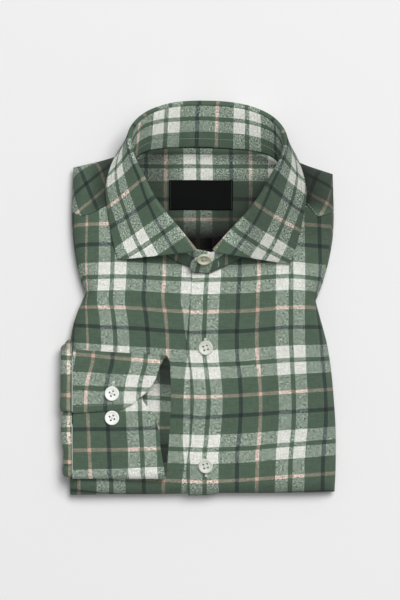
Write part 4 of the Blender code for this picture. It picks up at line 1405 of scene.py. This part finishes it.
def collar_band():
    columns = []
    for at in STATIONS:
        seam, roll, _ = collar_station(at)
        lap = BAND_LAP * eased(at - LAST_STATION + 1)
        columns.append(band_column(seam, band_top(at), facing_out(seam, roll) * lap))
    for side in (-1, 1):
        seam, roll, _ = collar_station(side * LAST_STATION)
        top = band_top(side * LAST_STATION)
        lap, dip = (BAND_LAP, TAB_DIP) if side > 0 else (0.0, 0.0)
        for share, low, high in BAND_END:
            move = Vector(((-side * BAND_REACH - seam.x) * share, 0, 0))
            foot = seam + move
            foot.z = band_foot_z(foot)
            high -= dip * eased(share / 0.6) * (high - low)
            column = band_column(foot, top + move, facing_out(seam, roll) * lap, low, high)
            columns.insert(0 if side < 0 else len(columns), column)
    along = running_lengths([column[BAND_ROWS // 2] for column in columns], len(columns) // 2)
    light, shift, stretch = BAND_CHECK
    cloth = []
    for column, place in zip(columns, along):
        end = 1 if place > 0 else -1
        ease = BAND_EASE[end] * ramp(abs(place), 95, 75) * end
        heights = running_lengths(column, 0)
        cloth.append([(light - height, place * stretch + shift + ease) for height in heights])
    print("length of the band mm:", round(along[-1] - along[0]))
    return sheet("band", "collar_band", columns, cloth, BAND_THICK, 0.0, PADDED_EDGE, shade_at=band_shelter)


band = collar_band()

# %% [markdown]
# ## Sleeve and cuff
# The lower sleeve comes from under the body, turns round its left fold and brings the cuff to the front.
# The sleeve is a flat tube with two small pleats, the cuff a padded band folded over itself and buttoned.

# %% The sleeve
SLEEVE_THICK = 1.2
SLEEVE_HALF_THICK = 2.4
SLEEVE_UPPER_BEND = 7.4
SLEEVE_LOWER_BEND = 5.6
SLEEVE_PLEATS = ((-94.6, 1.1), (-139.4, 0.8))  # y and height
SLEEVE_PLEAT_RUN = 12.0
SLEEVE_PLEAT_EDGE = 1.2
SLEEVE_PLEAT_DIP = (5.0, -1.1)  # width and depth of the shadowed groove below a pleat
SLEEVE_FOLDS = (  # y, how far inward the side of the sleeve lies
    (-152, 2.9), (-143, 1.7), (-136.4, 2.9), (-128, 2.5), (-115.4, 0.4), (-103, 0.6), (-96.5, 1.3), (-91, 0),
    (-40, 0),
)
CUFF_SEAM_X = -110.6
SLEEVE_CHECK = (  # y, place along the cloth, which jumps at the pleat
    (-152, -112.2), (-111.2, -71.4), (-99.4, -59.5), (-94.6, -39.5), (-81.8, -26.9), (-50.7, 0), (-34, 16.7),
)
SLEEVE_TOP_RISE = ((-121, 1.2), (-116.5, 3), (-113.8, 5.6), (-110.6, 4))  # x, how far up the top fold goes
SLEEVE_PINK_X = -113.8
OUTER_STRETCH = 1.3  # how much longer the sleeve's outer side is than its middle, round the fold
SLEEVE_FLAT_STEPS = (80, 27)  # above and below
SLEEVE_END_STEPS = 10
SLEEVE_WAVES = (0.45, 13.0)  # height and size


def quarter_turn(centre_x, centre_z, radius, first, steps):
    """(x, z, way outwards) round a quarter turn that starts at an angle in degrees and goes clockwise."""
    for turn in in_steps(first, first - 90.0, steps):
        yield centre_x + radius * cos(radians(turn)), centre_z + radius * sin(radians(turn)), turn


def sleeve_path():
    """The middle of the flat sleeve as (x, z, way its outer face looks), from under the body to the cuff."""
    side_x = SLEEVE_OUTER_X + SLEEVE_HALF_THICK
    low_z = SLEEVE_HALF_THICK
    top_z = crown(CUFF_SEAM_X, (SLEEVE_TOP_Y + SLEEVE_LOW_Y) / 2) + SEAM_GAP * 2 + SLEEVE_HALF_THICK
    lower, upper = SLEEVE_LOWER_BEND, SLEEVE_UPPER_BEND
    return [
        *((x, low_z, 270.0) for x in in_steps(SLEEVE_UNDER_X, side_x + lower, 7)[:-1]),
        *quarter_turn(side_x + lower, low_z + lower, lower, 270.0, 8),
        *quarter_turn(side_x + upper, top_z - upper, upper, 180.0, 10),
    ]


def pleat_rise(y):
    rise = 0.0
    dip, depth = SLEEVE_PLEAT_DIP
    for edge, step in SLEEVE_PLEATS:
        if edge - SLEEVE_PLEAT_EDGE < y < edge + SLEEVE_PLEAT_RUN:
            away = (y - edge) / SLEEVE_PLEAT_RUN if y > edge else (edge - y) / SLEEVE_PLEAT_EDGE
            rise += step * eased(1 - away)
        if edge - dip < y < edge:
            rise += depth * step * sin(pi * min(1.0, (edge - y) / dip + 0.15))
    return rise


def sleeve_ring(pleated, turn, top_rise):
    """The flat tube's section as (y, height over its middle), once round. pleated is 0 to 1."""
    round_end = SLEEVE_HALF_THICK - SLEEVE_THICK / 2
    low, high = SLEEVE_LOW_Y + SLEEVE_HALF_THICK, SLEEVE_TOP_Y - SLEEVE_HALF_THICK + top_rise
    above, below = SLEEVE_FLAT_STEPS
    flat = in_steps(low, high, above)
    for edge, _ in SLEEVE_PLEATS:
        flat += [edge, edge - SLEEVE_PLEAT_EDGE]
    wave, size = SLEEVE_WAVES
    ring = []
    for y in sorted(flat):
        fade = ramp(y, low, 12) * ramp(y, high, -12) * pleated
        ring.append((y, round_end + pleat_rise(y) * pleated + wave * fade * ripple(y, turn * 0.2, size, 8)))
    for middle, first in ((high, 15), (low, 195)):
        for i in range(SLEEVE_END_STEPS + 1):
            way = radians(first + 15 * i)
            ring.append((middle + round_end * sin(way), round_end * cos(way)))
        if middle == high:
            ring += [(y, -round_end) for y in in_steps(high, low, below)]
    return ring


# Painted light where the fold faces the window, and painted shade just below the upper edge.
sleeve_shelter = shades((-0.32, (Z, 14, 6)), (0.7, (Y, -46, 4)))


def sleeve():
    points, cloth = [], []
    path = sleeve_path()
    travelled = running_lengths([Vector((x, 0, z)) for x, z, _ in path], len(path) - 1)
    pink = min(range(len(path)), key=lambda i: abs(path[i][0] - SLEEVE_PINK_X) + (path[i][2] > 180) * 99)
    for (x, z, turn), away in zip(path, travelled):
        way = radians(turn)
        ring = sleeve_ring(eased(sin(way) + 0.9), turn, curve(SLEEVE_TOP_RISE, x) * eased(sin(way)))
        u = WARP_LINES[1][0] + (travelled[pink] - away) * OUTER_STRETCH
        line, row = [], []
        for y, height in ring:
            inward = curve(SLEEVE_FOLDS, y) * ramp(x, CUFF_SEAM_X, -8) * ramp(z, 0, 12)
            line.append(Vector((x + inward + height * cos(way), y, z + height * sin(way))))
            v = curve(SLEEVE_CHECK, y)
            row.append((u, v if height > 0 else -v))
        points.append(line)
        cloth.append(row + [(u, row[0][1])])
    return sheet(
        "sleeve_end", "sleeve", points, cloth, SLEEVE_THICK, 0.0, closed=True, shade_at=sleeve_shelter
    )


sleeve_end = sleeve()

# %% [markdown]
# ### The cuff
# The strip goes round from its lower flap, by the fold under it, along the back layer and over the upper
# fold to the flap on top. It opens towards the hand.

# %% The cuff
CUFF_THICK = 1.8
CUFF_TOP_Y = -44.5
CUFF_TOP_SLOPE_Y = -5.0
CUFF_LOW_Y = -151.3
CUFF_LOWER_FLAP_Y = -82.5
CUFF_UPPER_FLAP_Y = -94.0
CUFF_HOLLOW_SEAM = 2.5
CUFF_HOLLOW_HAND = 8.5
CUFF_LAP_RUN = 14.0
CUFF_HAND_EDGE = (  # zone and share of the zone, x of the hand's edge
    (0, -56.5), (0.034, -53.3), (0.17, -46.6), (0.31, -41.6), (0.4, -39.3), (0.53, -37.4), (0.66, -37),
    (0.79, -35.7), (1, -33.6), (2, -31.5), (2.55, -28.4), (3, -29), (4, -35.4), (4.08, -37), (4.24, -39.4),
    (4.39, -41.4), (4.5, -44.1), (4.6, -47.3), (4.68, -50), (4.76, -54), (4.85, -58.4), (4.93, -63), (5, -70),
)
CUFF_FAR_X = -28.4
CUFF_STEPS = (30, 12, 34, 12, 24)
CUFF_ALONG = 34
CUFF_ROWS = (  # length round the strip, place on the cloth
    (0, -72), (27.4, -43.9), (44.6, -26.9), (72.7, 0), (141.2, 71.4), (185.4, 115.9), (198.3, 130.7),
    (210.4, 142.8), (230, 162.4),
)
CUFF_PAIR = (  # zone and share of the zone, x of the middle of the pale pair
    (0, -54.2), (1, -51.7), (2, -50.3), (4, -49.1), (4.2, -50.5), (4.36, -52.7), (4.6, -54.6), (5, -55.5),
)
CUFF_EDGE_DROOP = ((-110, 3), (-67, 0))  # x, how much lower the upper flap's edge lies there
CUFF_WAVES = (0.3, 22.0)  # height and size
CUFF_MIDDLE_Y = -99.0
CUFF_HALF_INSIDE = 44.0


def cuff_round(zone, share, x):
    """(y, height) of a place round the cuff's strip."""
    along = (x - CUFF_SEAM_X) / (CUFF_FAR_X - CUFF_SEAM_X)  # 0 at the seam, 1 at the hand's far end
    turn = (mixed(CUFF_HOLLOW_SEAM, CUFF_HOLLOW_HAND, along) + CUFF_THICK) / 2
    top = CUFF_TOP_Y + CUFF_TOP_SLOPE_Y * along - turn
    low = CUFF_LOW_Y + turn
    way = pi * share
    if zone == 0:
        return mixed(CUFF_LOWER_FLAP_Y, low, share), 2 * turn
    if zone == 1:
        return low - turn * sin(way), turn * (1 + cos(way))
    if zone == 2:
        return mixed(low, top, share), 0.0
    if zone == 3:
        return top + turn * sin(way), turn * (1 - cos(way))
    y = mixed(top, CUFF_UPPER_FLAP_Y - curve(CUFF_EDGE_DROOP, x), share)
    return y, 2 * turn + eased((top - y) / CUFF_LAP_RUN) * (CUFF_THICK + SEAM_GAP)


def cuff_point(zone, share, x):
    """A point of the middle of the cuff's cloth."""
    y, height = cuff_round(zone, share, x)
    return Vector((x, y, crown(x, y) + SEAM_GAP + CUFF_THICK / 2 + height))


def cuff_shelter(x, y, z):
    """Painted shade: the back layer inside the cuff is darkest near the two folds."""
    away = abs(y - CUFF_MIDDLE_Y)
    low_down = eased(1 - (z - crown(x, y) - 2.6) / 2.0)
    dark = 0.02 + 1.3 * min(1.0, away / CUFF_HALF_INSIDE) ** 1.8 + 0.4 * ramp(x, -41, 5)
    return low_down * min(1.08, dark) * ramp(away, 54, -3)


def cuff():
    places = [(zone, i / steps) for zone, steps in enumerate(CUFF_STEPS) for i in range(steps)] + [(4, 1.0)]
    middle = [cuff_point(zone, share, mixed(CUFF_SEAM_X, CUFF_FAR_X, 0.5)) for zone, share in places]
    wave, size = CUFF_WAVES
    points, cloth = [], []
    for (zone, share), length in zip(places, running_lengths(middle, 0)):
        hand_x = curve(CUFF_HAND_EDGE, zone + share)
        row = [cuff_point(zone, share, x) for x in in_steps(CUFF_SEAM_X, hand_x, CUFF_ALONG)]
        if zone in (0, 4):
            for point in row:
                point.z += wave * sin(pi * share) * ripple(point.x, point.y, size, 9)
        points.append(row)
        cloth.append([(curve(CUFF_PAIR, zone + share) - point.x, curve(CUFF_ROWS, length)) for point in row])
    return sheet("cuff_band", "cuff", points, cloth, CUFF_THICK, 0.0, PADDED_EDGE, shade_at=cuff_shelter)


cuff_band = cuff()

# %% [markdown]
# ## Buttons
# Shirt buttons are turned from a sheet of pale resin or shell: a rounded rim, a shallow dish and four holes.
# One is built as it would be turned, from a disc that is extruded and narrowed step by step, and a Boolean
# drills its holes. The others are copies, each laid on the cloth under it and turned to face as that does.

# %% One button
BUTTON_RADIUS = 6.15
BUTTON_THICK = 2.6
BUTTON_BACK = 0.72  # share of the radius that the flat back takes
BUTTON_STEPS = (  # share of the radius and of the thickness, from the back round the rim and into the dish
    (0.9, 0.1), (0.97, 0.3), (1, 0.56), (0.98, 0.8), (0.93, 0.95), (0.87, 1), (0.8, 0.98), (0.73, 0.86),
    (0.66, 0.68), (0.57, 0.6), (0.3, 0.58),
)
BUTTON_SIDES = 44
HOLE_RADIUS = 0.88
HOLE_PLACE = 2.15  # from the middle of the button
HOLE_TURN = 52.0
HOLE_SIDES = 14
HOLE_EDGE = 38  # degrees, from which an edge stays sharp
DRILL_LONG = 8


def hole_middles():
    turns = [radians(HOLE_TURN + 90 * quarter) for quarter in range(4)]
    return [Vector((cos(turn), sin(turn), 0)) * HOLE_PLACE for turn in turns]


def button_blank():
    back = BUTTON_BACK * BUTTON_RADIUS * MM
    bpy.ops.mesh.primitive_circle_add(vertices=BUTTON_SIDES, radius=back, fill_type="NGON")
    blank = bpy.context.object
    bpy.ops.object.mode_set(mode="EDIT")
    bpy.ops.mesh.select_all(action="SELECT")
    radius, height = BUTTON_BACK, 0.0
    for next_radius, next_height in BUTTON_STEPS:
        rise = (next_height - height) * BUTTON_THICK * MM
        bpy.ops.mesh.extrude_region_move(TRANSFORM_OT_translate={"value": (0, 0, rise)})
        share = next_radius / radius
        bpy.ops.transform.resize(value=(share, share, 1), center_override=(0, 0, 0))
        radius, height = next_radius, next_height
    normals_outward()
    return blank


def drilled(blank):
    for middle in hole_middles():
        bpy.ops.mesh.primitive_cylinder_add(
            vertices=HOLE_SIDES, radius=HOLE_RADIUS * MM, depth=DRILL_LONG * MM, location=middle * MM
        )
        drill = bpy.context.object
        cut_away(blank, drill)
        bpy.data.objects.remove(drill)
    select_only(blank)
    bpy.ops.object.shade_smooth_by_angle(angle=radians(HOLE_EDGE))
    return blank


BUTTON = drilled(button_blank())
print("faces of one button:", len(BUTTON.data.polygons))

# %% [markdown]
# The finish is a pale, faintly clouded resin with a soft gloss. The thread is twisted cotton, so its tone
# changes every half millimetre. Pale thread shows on the band and the cuff, green thread sinks into the
# cloth.

# %% Finishes of the buttons and the thread
RESIN_CLOUDS = (260.0, 2.0)  # scale and detail
RESIN_ROUGHNESS = (0.3, 0.2)  # the least, and how much the clouds add
TWIST = (1900.0, 1.0)
TWIST_BUMP = (0.4, 0.0001)


def clouded(name, light, dark, scale, detail, **values):
    """A material between two colours, with the noise that mixes them and the shader's sockets."""
    made, tree, shader = new_material(name, **values)
    cloud = cloudy(add(tree, "ShaderNodeTexCoord").outputs["Object"], scale, detail)["Fac"]
    plug(shader, {"Base Color": blend(cloud, (*dark, 1), (*light, 1))})
    return made, cloud, shader


def resin(name, light, dark):
    made, cloud, shader = clouded(
        name, light, dark, *RESIN_CLOUDS, Coat_Weight=0.12, Coat_Roughness=0.3, Specular_IOR_Level=0.35
    )
    plug(shader, {"Roughness": calc("MULTIPLY_ADD", cloud, *reversed(RESIN_ROUGHNESS))})
    return made


def cotton_thread(name, light, dark):
    made, twist, shader = clouded(name, light, dark, *TWIST, Roughness=0.8, Sheen_Weight=0.1)
    plug(shader, {"Normal": bumped(twist, *TWIST_BUMP)})
    return made


RESIN = resin("pale_resin", (0.75, 0.77, 0.69), (0.54, 0.57, 0.48))
WHITE_RESIN = resin("white_resin", (0.97, 0.98, 0.95), (0.86, 0.88, 0.84))
# The collar button lies in the collar's shade, so its resin is a darker, yellower copy: painted shade.
SHADED_RESIN = resin("painted_shade_resin", (0.72, 0.71, 0.5), (0.44, 0.48, 0.38))
WHITE_THREAD = cotton_thread("white_thread", (0.86, 0.87, 0.8), (0.55, 0.57, 0.5))
PALE_THREAD = cotton_thread("pale_thread", (0.62, 0.66, 0.57), (0.3, 0.35, 0.29))
# Near-black thread for the shank under each button: painted shadow in the button's holes.
SHADOW_DARK_THREAD = cotton_thread("shadow_dark_thread", (0.035, 0.045, 0.035), (0.012, 0.016, 0.013))
GREEN_THREAD = cotton_thread("green_thread", (0.11, 0.165, 0.115), (0.05, 0.085, 0.056))

# %% [markdown]
# ### Sewing the buttons on
# A helper drops a point straight down on a finished piece, so a button or a stitch sits on the real cloth.
# Two strands of thread cross in the dish of each button. A strand is a small bent tube.

# %% Buttons in their places
STRAND_RADIUS = 0.2
STRAND_SIDES = 7
STRAND_ARCH = (  # share of the way out, height
    (-0.84, 0.7), (-0.8, 1.4), (-0.66, 1.66), (-0.33, 1.78), (0, 1.82),
)
HOLE_SHADOW_SHANK = (-0.3, 0.1, 0.5)  # heights of the thread wound under a button; it is near black as painted shadow, so the holes look dark
HOLE_SHADOW_SHANK_RADIUS = 3.4
BUTTON_PLACES = (  # name of the node, cloth under it, x and y, finish, thread, extra lean in degrees
    ("front_button_1", front_over, 0.9, -42.2, RESIN, WHITE_THREAD, 0.0),
    ("front_button_2", front_over, 0.9, -141.4, RESIN, WHITE_THREAD, 0.0),
    ("cuff_button_1", cuff_band, -77.4, -80.4, WHITE_RESIN, WHITE_THREAD, 0.0),
    ("cuff_button_2", cuff_band, -77.4, -100.8, WHITE_RESIN, WHITE_THREAD, 0.0),
    ("collar_button", band, -0.4, 33.2, SHADED_RESIN, PALE_THREAD, 7.0),
)


def dropped(piece, x, y):
    """The point of a finished piece that lies straight below a place, and the way its surface looks."""
    start = Vector((x + BUTTON_LINE.x, y, 100.0)) * MM
    _, place, up, _ = piece.ray_cast(start, Vector((0, 0, -1)))
    return place / MM, up


def tube(verts, faces, path, radius):
    """Add a closed bent tube along a path of points, in metres."""
    sides, start = STRAND_SIDES, len(verts)
    for i, point in enumerate(path):
        along = (path[min(i + 1, len(path) - 1)] - path[max(i - 1, 0)]).normalized()
        side = along.orthogonal().normalized() if i == 0 else (side - along * side.dot(along)).normalized()
        across = along.cross(side)
        for j in range(sides):
            turn = tau * j / sides
            verts.append(point + (side * cos(turn) + across * sin(turn)) * radius * MM)
    for i in range(len(path) - 1):
        for j in range(sides):
            n, low = (j + 1) % sides, start + i * sides
            faces.append([low + j, low + n, low + n + sides, low + j + sides])
    faces.append([start + j for j in reversed(range(sides))])
    faces.append([start + (len(path) - 1) * sides + j for j in range(sides)])


def trim(name, verts, faces, finish):
    """A small piece that is sewn to the shirt and stands for no solid."""
    piece = placed(name, new_mesh(name, verts, faces), finish)
    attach(piece, "root")
    print(name, "faces:", len(faces))


def tubes(name, paths, radius, finish):
    """Bent tubes along paths in metres, as one small piece."""
    verts, faces = [], []
    for path in paths:
        tube(verts, faces, path, radius)
    trim(name, verts, faces, finish)


def strands(frame_of_button):
    """The paths of four strands, two from each hole to the one across, in metres."""
    arch = [*STRAND_ARCH, *((-share, height) for share, height in reversed(STRAND_ARCH[:-1]))]
    for middle in hole_middles()[:2]:
        beside = Vector((-middle.y, middle.x, 0)).normalized() * STRAND_RADIUS * 0.95
        over = 0.25 if middle.x < 0 else 0.0
        for sign in (-1, 1):
            path = []
            for share, height in arch:
                lifted = Vector((0, 0, height + over * (1 - share**2)))
                path.append(frame_of_button @ ((middle * share + beside * sign + lifted) * MM))
            yield path


def sew_on(node, cloth, x, y, finish, thread, lean):
    place, up = dropped(cloth, x, y)
    facing = Matrix.Rotation(radians(lean), 3, "X") @ up
    turned = facing.to_track_quat("Z", "Y").to_matrix().to_4x4()
    frame_of_button = Matrix.Translation((place + facing * SEAM_GAP) * MM) @ turned
    mesh = BUTTON.data.copy()
    mesh.transform(frame_of_button)
    dress(placed("sewn_" + node, mesh, finish), node)
    tubes("thread_of_" + node, strands(frame_of_button), STRAND_RADIUS, thread)
    # The near-black shank under the button is painted shadow seen through its holes.
    hole_shadow_shank = [frame_of_button @ Vector((0, 0, height * MM)) for height in HOLE_SHADOW_SHANK]
    tubes("hole_shadow_shank_of_" + node, [hole_shadow_shank], HOLE_SHADOW_SHANK_RADIUS, SHADOW_DARK_THREAD)


for button_place in BUTTON_PLACES:
    sew_on(*button_place)
bpy.data.objects.remove(BUTTON)

# %% [markdown]
# ### Stitches
# A stitch is a short soft grain of thread that sinks in at its two ends. It is one small ball of 30 faces,
# stretched along the seam, and a seam is a row of its copies, all in one mesh.

# %% A row of stitches
STITCH_LONG = 1.9
STITCH_PITCH = 2.6


def grain_of_thread():
    bpy.ops.mesh.primitive_uv_sphere_add(segments=6, ring_count=5, radius=0.5)
    ball = bpy.context.object
    shape = [Vector(v.co) for v in ball.data.vertices], [tuple(f.vertices) for f in ball.data.polygons]
    bpy.data.objects.remove(ball)
    return shape


GRAIN = grain_of_thread()


def stitches(name, places, finish):
    """Stitches from (middle, way along, way up, length, width) rows, all in millimetres, as one piece."""
    verts, faces = [], []
    for middle, along, up, length, width in places:
        side = up.cross(along).normalized()
        start = len(verts)
        for corner in GRAIN[0]:
            x, y, z = corner.x * width, corner.y * width * 0.8, corner.z * length
            verts.append((middle + along * z + side * y + up * x) * MM)
        faces += [[start + i for i in face] for face in GRAIN[1]]
    trim(name, verts, faces, finish)


def point_along(path, lengths):
    """Points of a path at these lengths from its start, on smooth curves."""
    rows = [(run, *point) for run, point in zip(running_lengths(path, 0), path)]
    return [Vector([curve(rows, length, column) for column in (1, 2, 3)]) for length in lengths]


def seam_row(piece, path, width=0.32, pitch=STITCH_PITCH, length=STITCH_LONG):
    """Places of the stitches of one seam, along a path of points near a piece."""
    count = int(running_lengths(path, 0)[-1] / pitch)
    found = point_along(path, [(i + step) * pitch for i in range(count) for step in (0.1, 0.5, 0.9)])
    places = []
    for before, at, after in zip(found[::3], found[1::3], found[2::3]):
        _, place, up, _ = piece.closest_point_on_mesh((at + BUTTON_LINE) * MM)
        along = after - before
        along = (along - up * along.dot(up)).normalized()
        places.append((place / MM + up * width * 0.2, along, up, length, width))
    return places


# %% [markdown]
# The rows that show: one round the free edge of the leaf, one above the seam of the band, one down the
# placket, one at each shoulder seam, one across the cuff's upper flap and one at each end of the label.

# %% The seams
LEAF_ROW = 5.4  # millimetres from the free edge of the leaf to its stitches
BAND_ROW = 8.2  # millimetres from the foot of the band to its stitches
PLACKET_ROW_X = -7.4
SHOULDER_ROW = 2.0
CUFF_ROW = 0.89  # share of the upper flap
LABEL_MARGIN = (1.1, 0.6)
UP = Vector((0, 0, 1))


def leaf_row_point(at):
    (point,) = point_along(leaf_section(at)[::-1], [LEAF_ROW])
    return point + (roll_frame(at)[1] + UP).normalized() * LEAF_THICK


def band_row_point(at):
    seam, top = collar_station(at)[0], band_top(at)
    return seam.lerp(top, BAND_ROW / (top - seam).length) - roll_frame(at)[1] * BAND_THICK


def line_on(piece, x_and_y):
    """Points on a finished piece straight below a plan line, counted from the line of the buttons."""
    return [dropped(piece, x, y)[0] - BUTTON_LINE for x, y in x_and_y]


def plan_line(start, end, steps=40):
    return list(zip(*(in_steps(first, last, steps) for first, last in zip(start, end))))


def shoulder_line(start_x, end_x):
    line = plan_line((start_x, 0), (end_x, 0), 30)
    return line_on(yoke_outer, [(x, curve(YOKE_SEAM, x) + SHOULDER_ROW) for x, _ in line])


def label_rows():
    x_margin, y_margin = LABEL_MARGIN
    rows = []
    for x in (LABEL_LEFT_X + x_margin, LABEL_RIGHT_X - x_margin):
        line = plan_line((x, LABEL_LOW_Y + y_margin), (x, LABEL_TOP_Y - y_margin), 20)
        rows += seam_row(bare_label, line_on(bare_label, line), 0.28, 1.5, 1.2)
    return rows


placket_line = [(PLACKET_ROW_X + curve(PLACKET_WAVE, y), y) for _, y in plan_line((0, 16), (0, -158), 80)]
cuff_line = [cuff_point(4, CUFF_ROW, x) + UP * 2 for x, _ in plan_line((-108, 0), (-62, 0))]
SEAMS = (  # name, cloth, path, width of a stitch, thread
    ("leaf", leaf, map(leaf_row_point, STATIONS[3:-3]), 0.26, GREEN_THREAD),
    ("band", band, map(band_row_point, STATIONS[16:-16]), 0.34, PALE_THREAD),
    ("placket", front_over, line_on(front_over, placket_line), 0.26, GREEN_THREAD),
    ("left_shoulder", yoke_outer, shoulder_line(-105, -82), 0.3, GREEN_THREAD),
    ("right_shoulder", yoke_outer, shoulder_line(84, 103), 0.3, PALE_THREAD),
    ("cuff", cuff_band, cuff_line, 0.32, PALE_THREAD),
)
for name, cloth, path, width, thread in SEAMS:
    stitches(name + "_stitches", seam_row(cloth, list(path), width), thread)
stitches("label_stitches", label_rows(), GREEN_THREAD)

# %% [markdown]
# ### Buttonholes
# A buttonhole is a slit whose two sides are whipped with short stitches that lie close together, with a bar
# across each end. Only the end that stands out beside the button shows, but each is sewn whole.

# %% The buttonholes
WHIP = (0.46, 0.52, 1.15)  # width, pitch and length of the stitches
SLIT_HALF = 0.62
BAR_LONG = 2.4
BAR_WIDER = 1.6  # times the width of a stitch
BAR_RISE = 0.2
BUTTONHOLES = (  # name, cloth, start and end in plan, thread
    ("front_buttonhole_1", front_over, (0.6, -34.1), (0.8, -48.6), WHITE_THREAD),
    ("front_buttonhole_2", front_over, (1.0, -136.4), (1.4, -150.6), WHITE_THREAD),
    ("cuff_buttonhole", cuff_band, (-76.2, -70.0), (-77.4, -84.0), WHITE_THREAD),
    ("collar_buttonhole", band, (-8.2, 31.5), (6.0, 31.5), PALE_THREAD),
)


def whipped(cloth, start, end):
    """Places of the stitches round a slit."""
    spine = seam_row(cloth, line_on(cloth, plan_line(start, end, 24)), *WHIP)
    places = []
    for middle, along, up, length, width in spine:
        side = up.cross(along)
        places += [(middle + side * SLIT_HALF * sign, side, up, length, width) for sign in (-1, 1)]
    for middle, along, up, length, width in spine[:3] + spine[-3:]:
        places.append((middle + up * BAR_RISE, up.cross(along), up, BAR_LONG, width * BAR_WIDER))
    return places


for name, cloth, start, end, thread in BUTTONHOLES:
    stitches(name, whipped(cloth, start, end), thread)

# %% [markdown]
# ### The seam of the cuff
# Where the sleeve is set into the cuff, the seam's edge shows as a thin pale ridge.

# %% A ridge along the cuff's seam
RIDGE_RADIUS = 0.5
RIDGE_DROP = Vector((-0.35, 0, CUFF_THICK / 2 - RIDGE_RADIUS - 0.4))
RIDGE_RUNS = ((4, 0.06, 0.98), (0, 0.36, 0.98))  # zone of the cuff, first and last share of it
RIDGE_STEPS = 40


def ridge_path(zone, first, last):
    points = [cuff_point(zone, share, CUFF_SEAM_X) for share in in_steps(first, last, RIDGE_STEPS)]
    return in_metres(point + RIDGE_DROP for point in points)


tubes("cuff_seam_ridge", [ridge_path(*run) for run in RIDGE_RUNS], RIDGE_RADIUS, PALE_THREAD)

# %% [markdown]
# ## What the sheets are cut from
# Each sheet is stated with its size laid flat, measured along the cloth and not across the folds. Where a
# neckline or a slanted edge takes some away, the flat area is given as well. The sleeve is a tube, so its
# width is the way all round. The layers folded out of sight share one rounded solid, which is no sheet.

# %% The cut of every sheet that shows
FRONT_TRIM = ["placket_stitches", "front_buttonhole_1", "front_buttonhole_2"]
CUFF_TRIM = ["cuff_stitches", "cuff_buttonhole", "cuff_seam_ridge"]
YOKE_TRIM = ["left_shoulder_stitches", "right_shoulder_stitches"]
BAND_TRIM = ["band_stitches", "collar_buttonhole"]
CUTS = (  # piece, flat width, length and area in metres, how it is held, what it lies on, what is sewn to it
    (front_under, 0.127, 0.261, 0.0262, "folded", [stack], []),
    (front_over, 0.134, 0.257, 0.028, "folded", [stack, front_under], FRONT_TRIM),
    (yoke_outer, 0.232, 0.064, 0.0074, "folded", [stack], YOKE_TRIM),
    (yoke_inside, 0.129, 0.105, 0.0105, "laid", [stack], []),
    (bare_label, 0.0537, 0.0252, None, "laid", [yoke_inside], ["label_stitches"]),
    (leaf, 0.069, 0.406, 0.0172, "folded", [band, front_under, front_over], ["leaf_stitches"]),
    (band, 0.0383, 0.412, 0.0124, "folded", [front_under, front_over, yoke_outer], BAND_TRIM),
    (sleeve_end, 0.22, 0.0495, None, "folded", [front_under, stack], []),
    (cuff_band, 0.233, 0.083, 0.0173, "folded", [front_under], CUFF_TRIM),
)
for piece, width, length, area, held, lies_on, sewn in CUTS:
    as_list(lies_on)
    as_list(sewn)
    print(piece.name, "is cut to mm:", round(width / MM), "x", round(length / MM))

# %% [markdown]
# ## Sizes
# The box of the solids and that of the dressed shirt are kept side by side.

# %% Sizes and the end
bpy.data.objects.remove(NECKLINE)
sizes = {"cad": [list(corner) for corner in cad_box], "visual": [list(corner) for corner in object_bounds()]}
for name, (low, high) in sizes.items():
    print(name, "box mm:", [round((b - a) / MM, 1) for a, b in zip(low, high)])
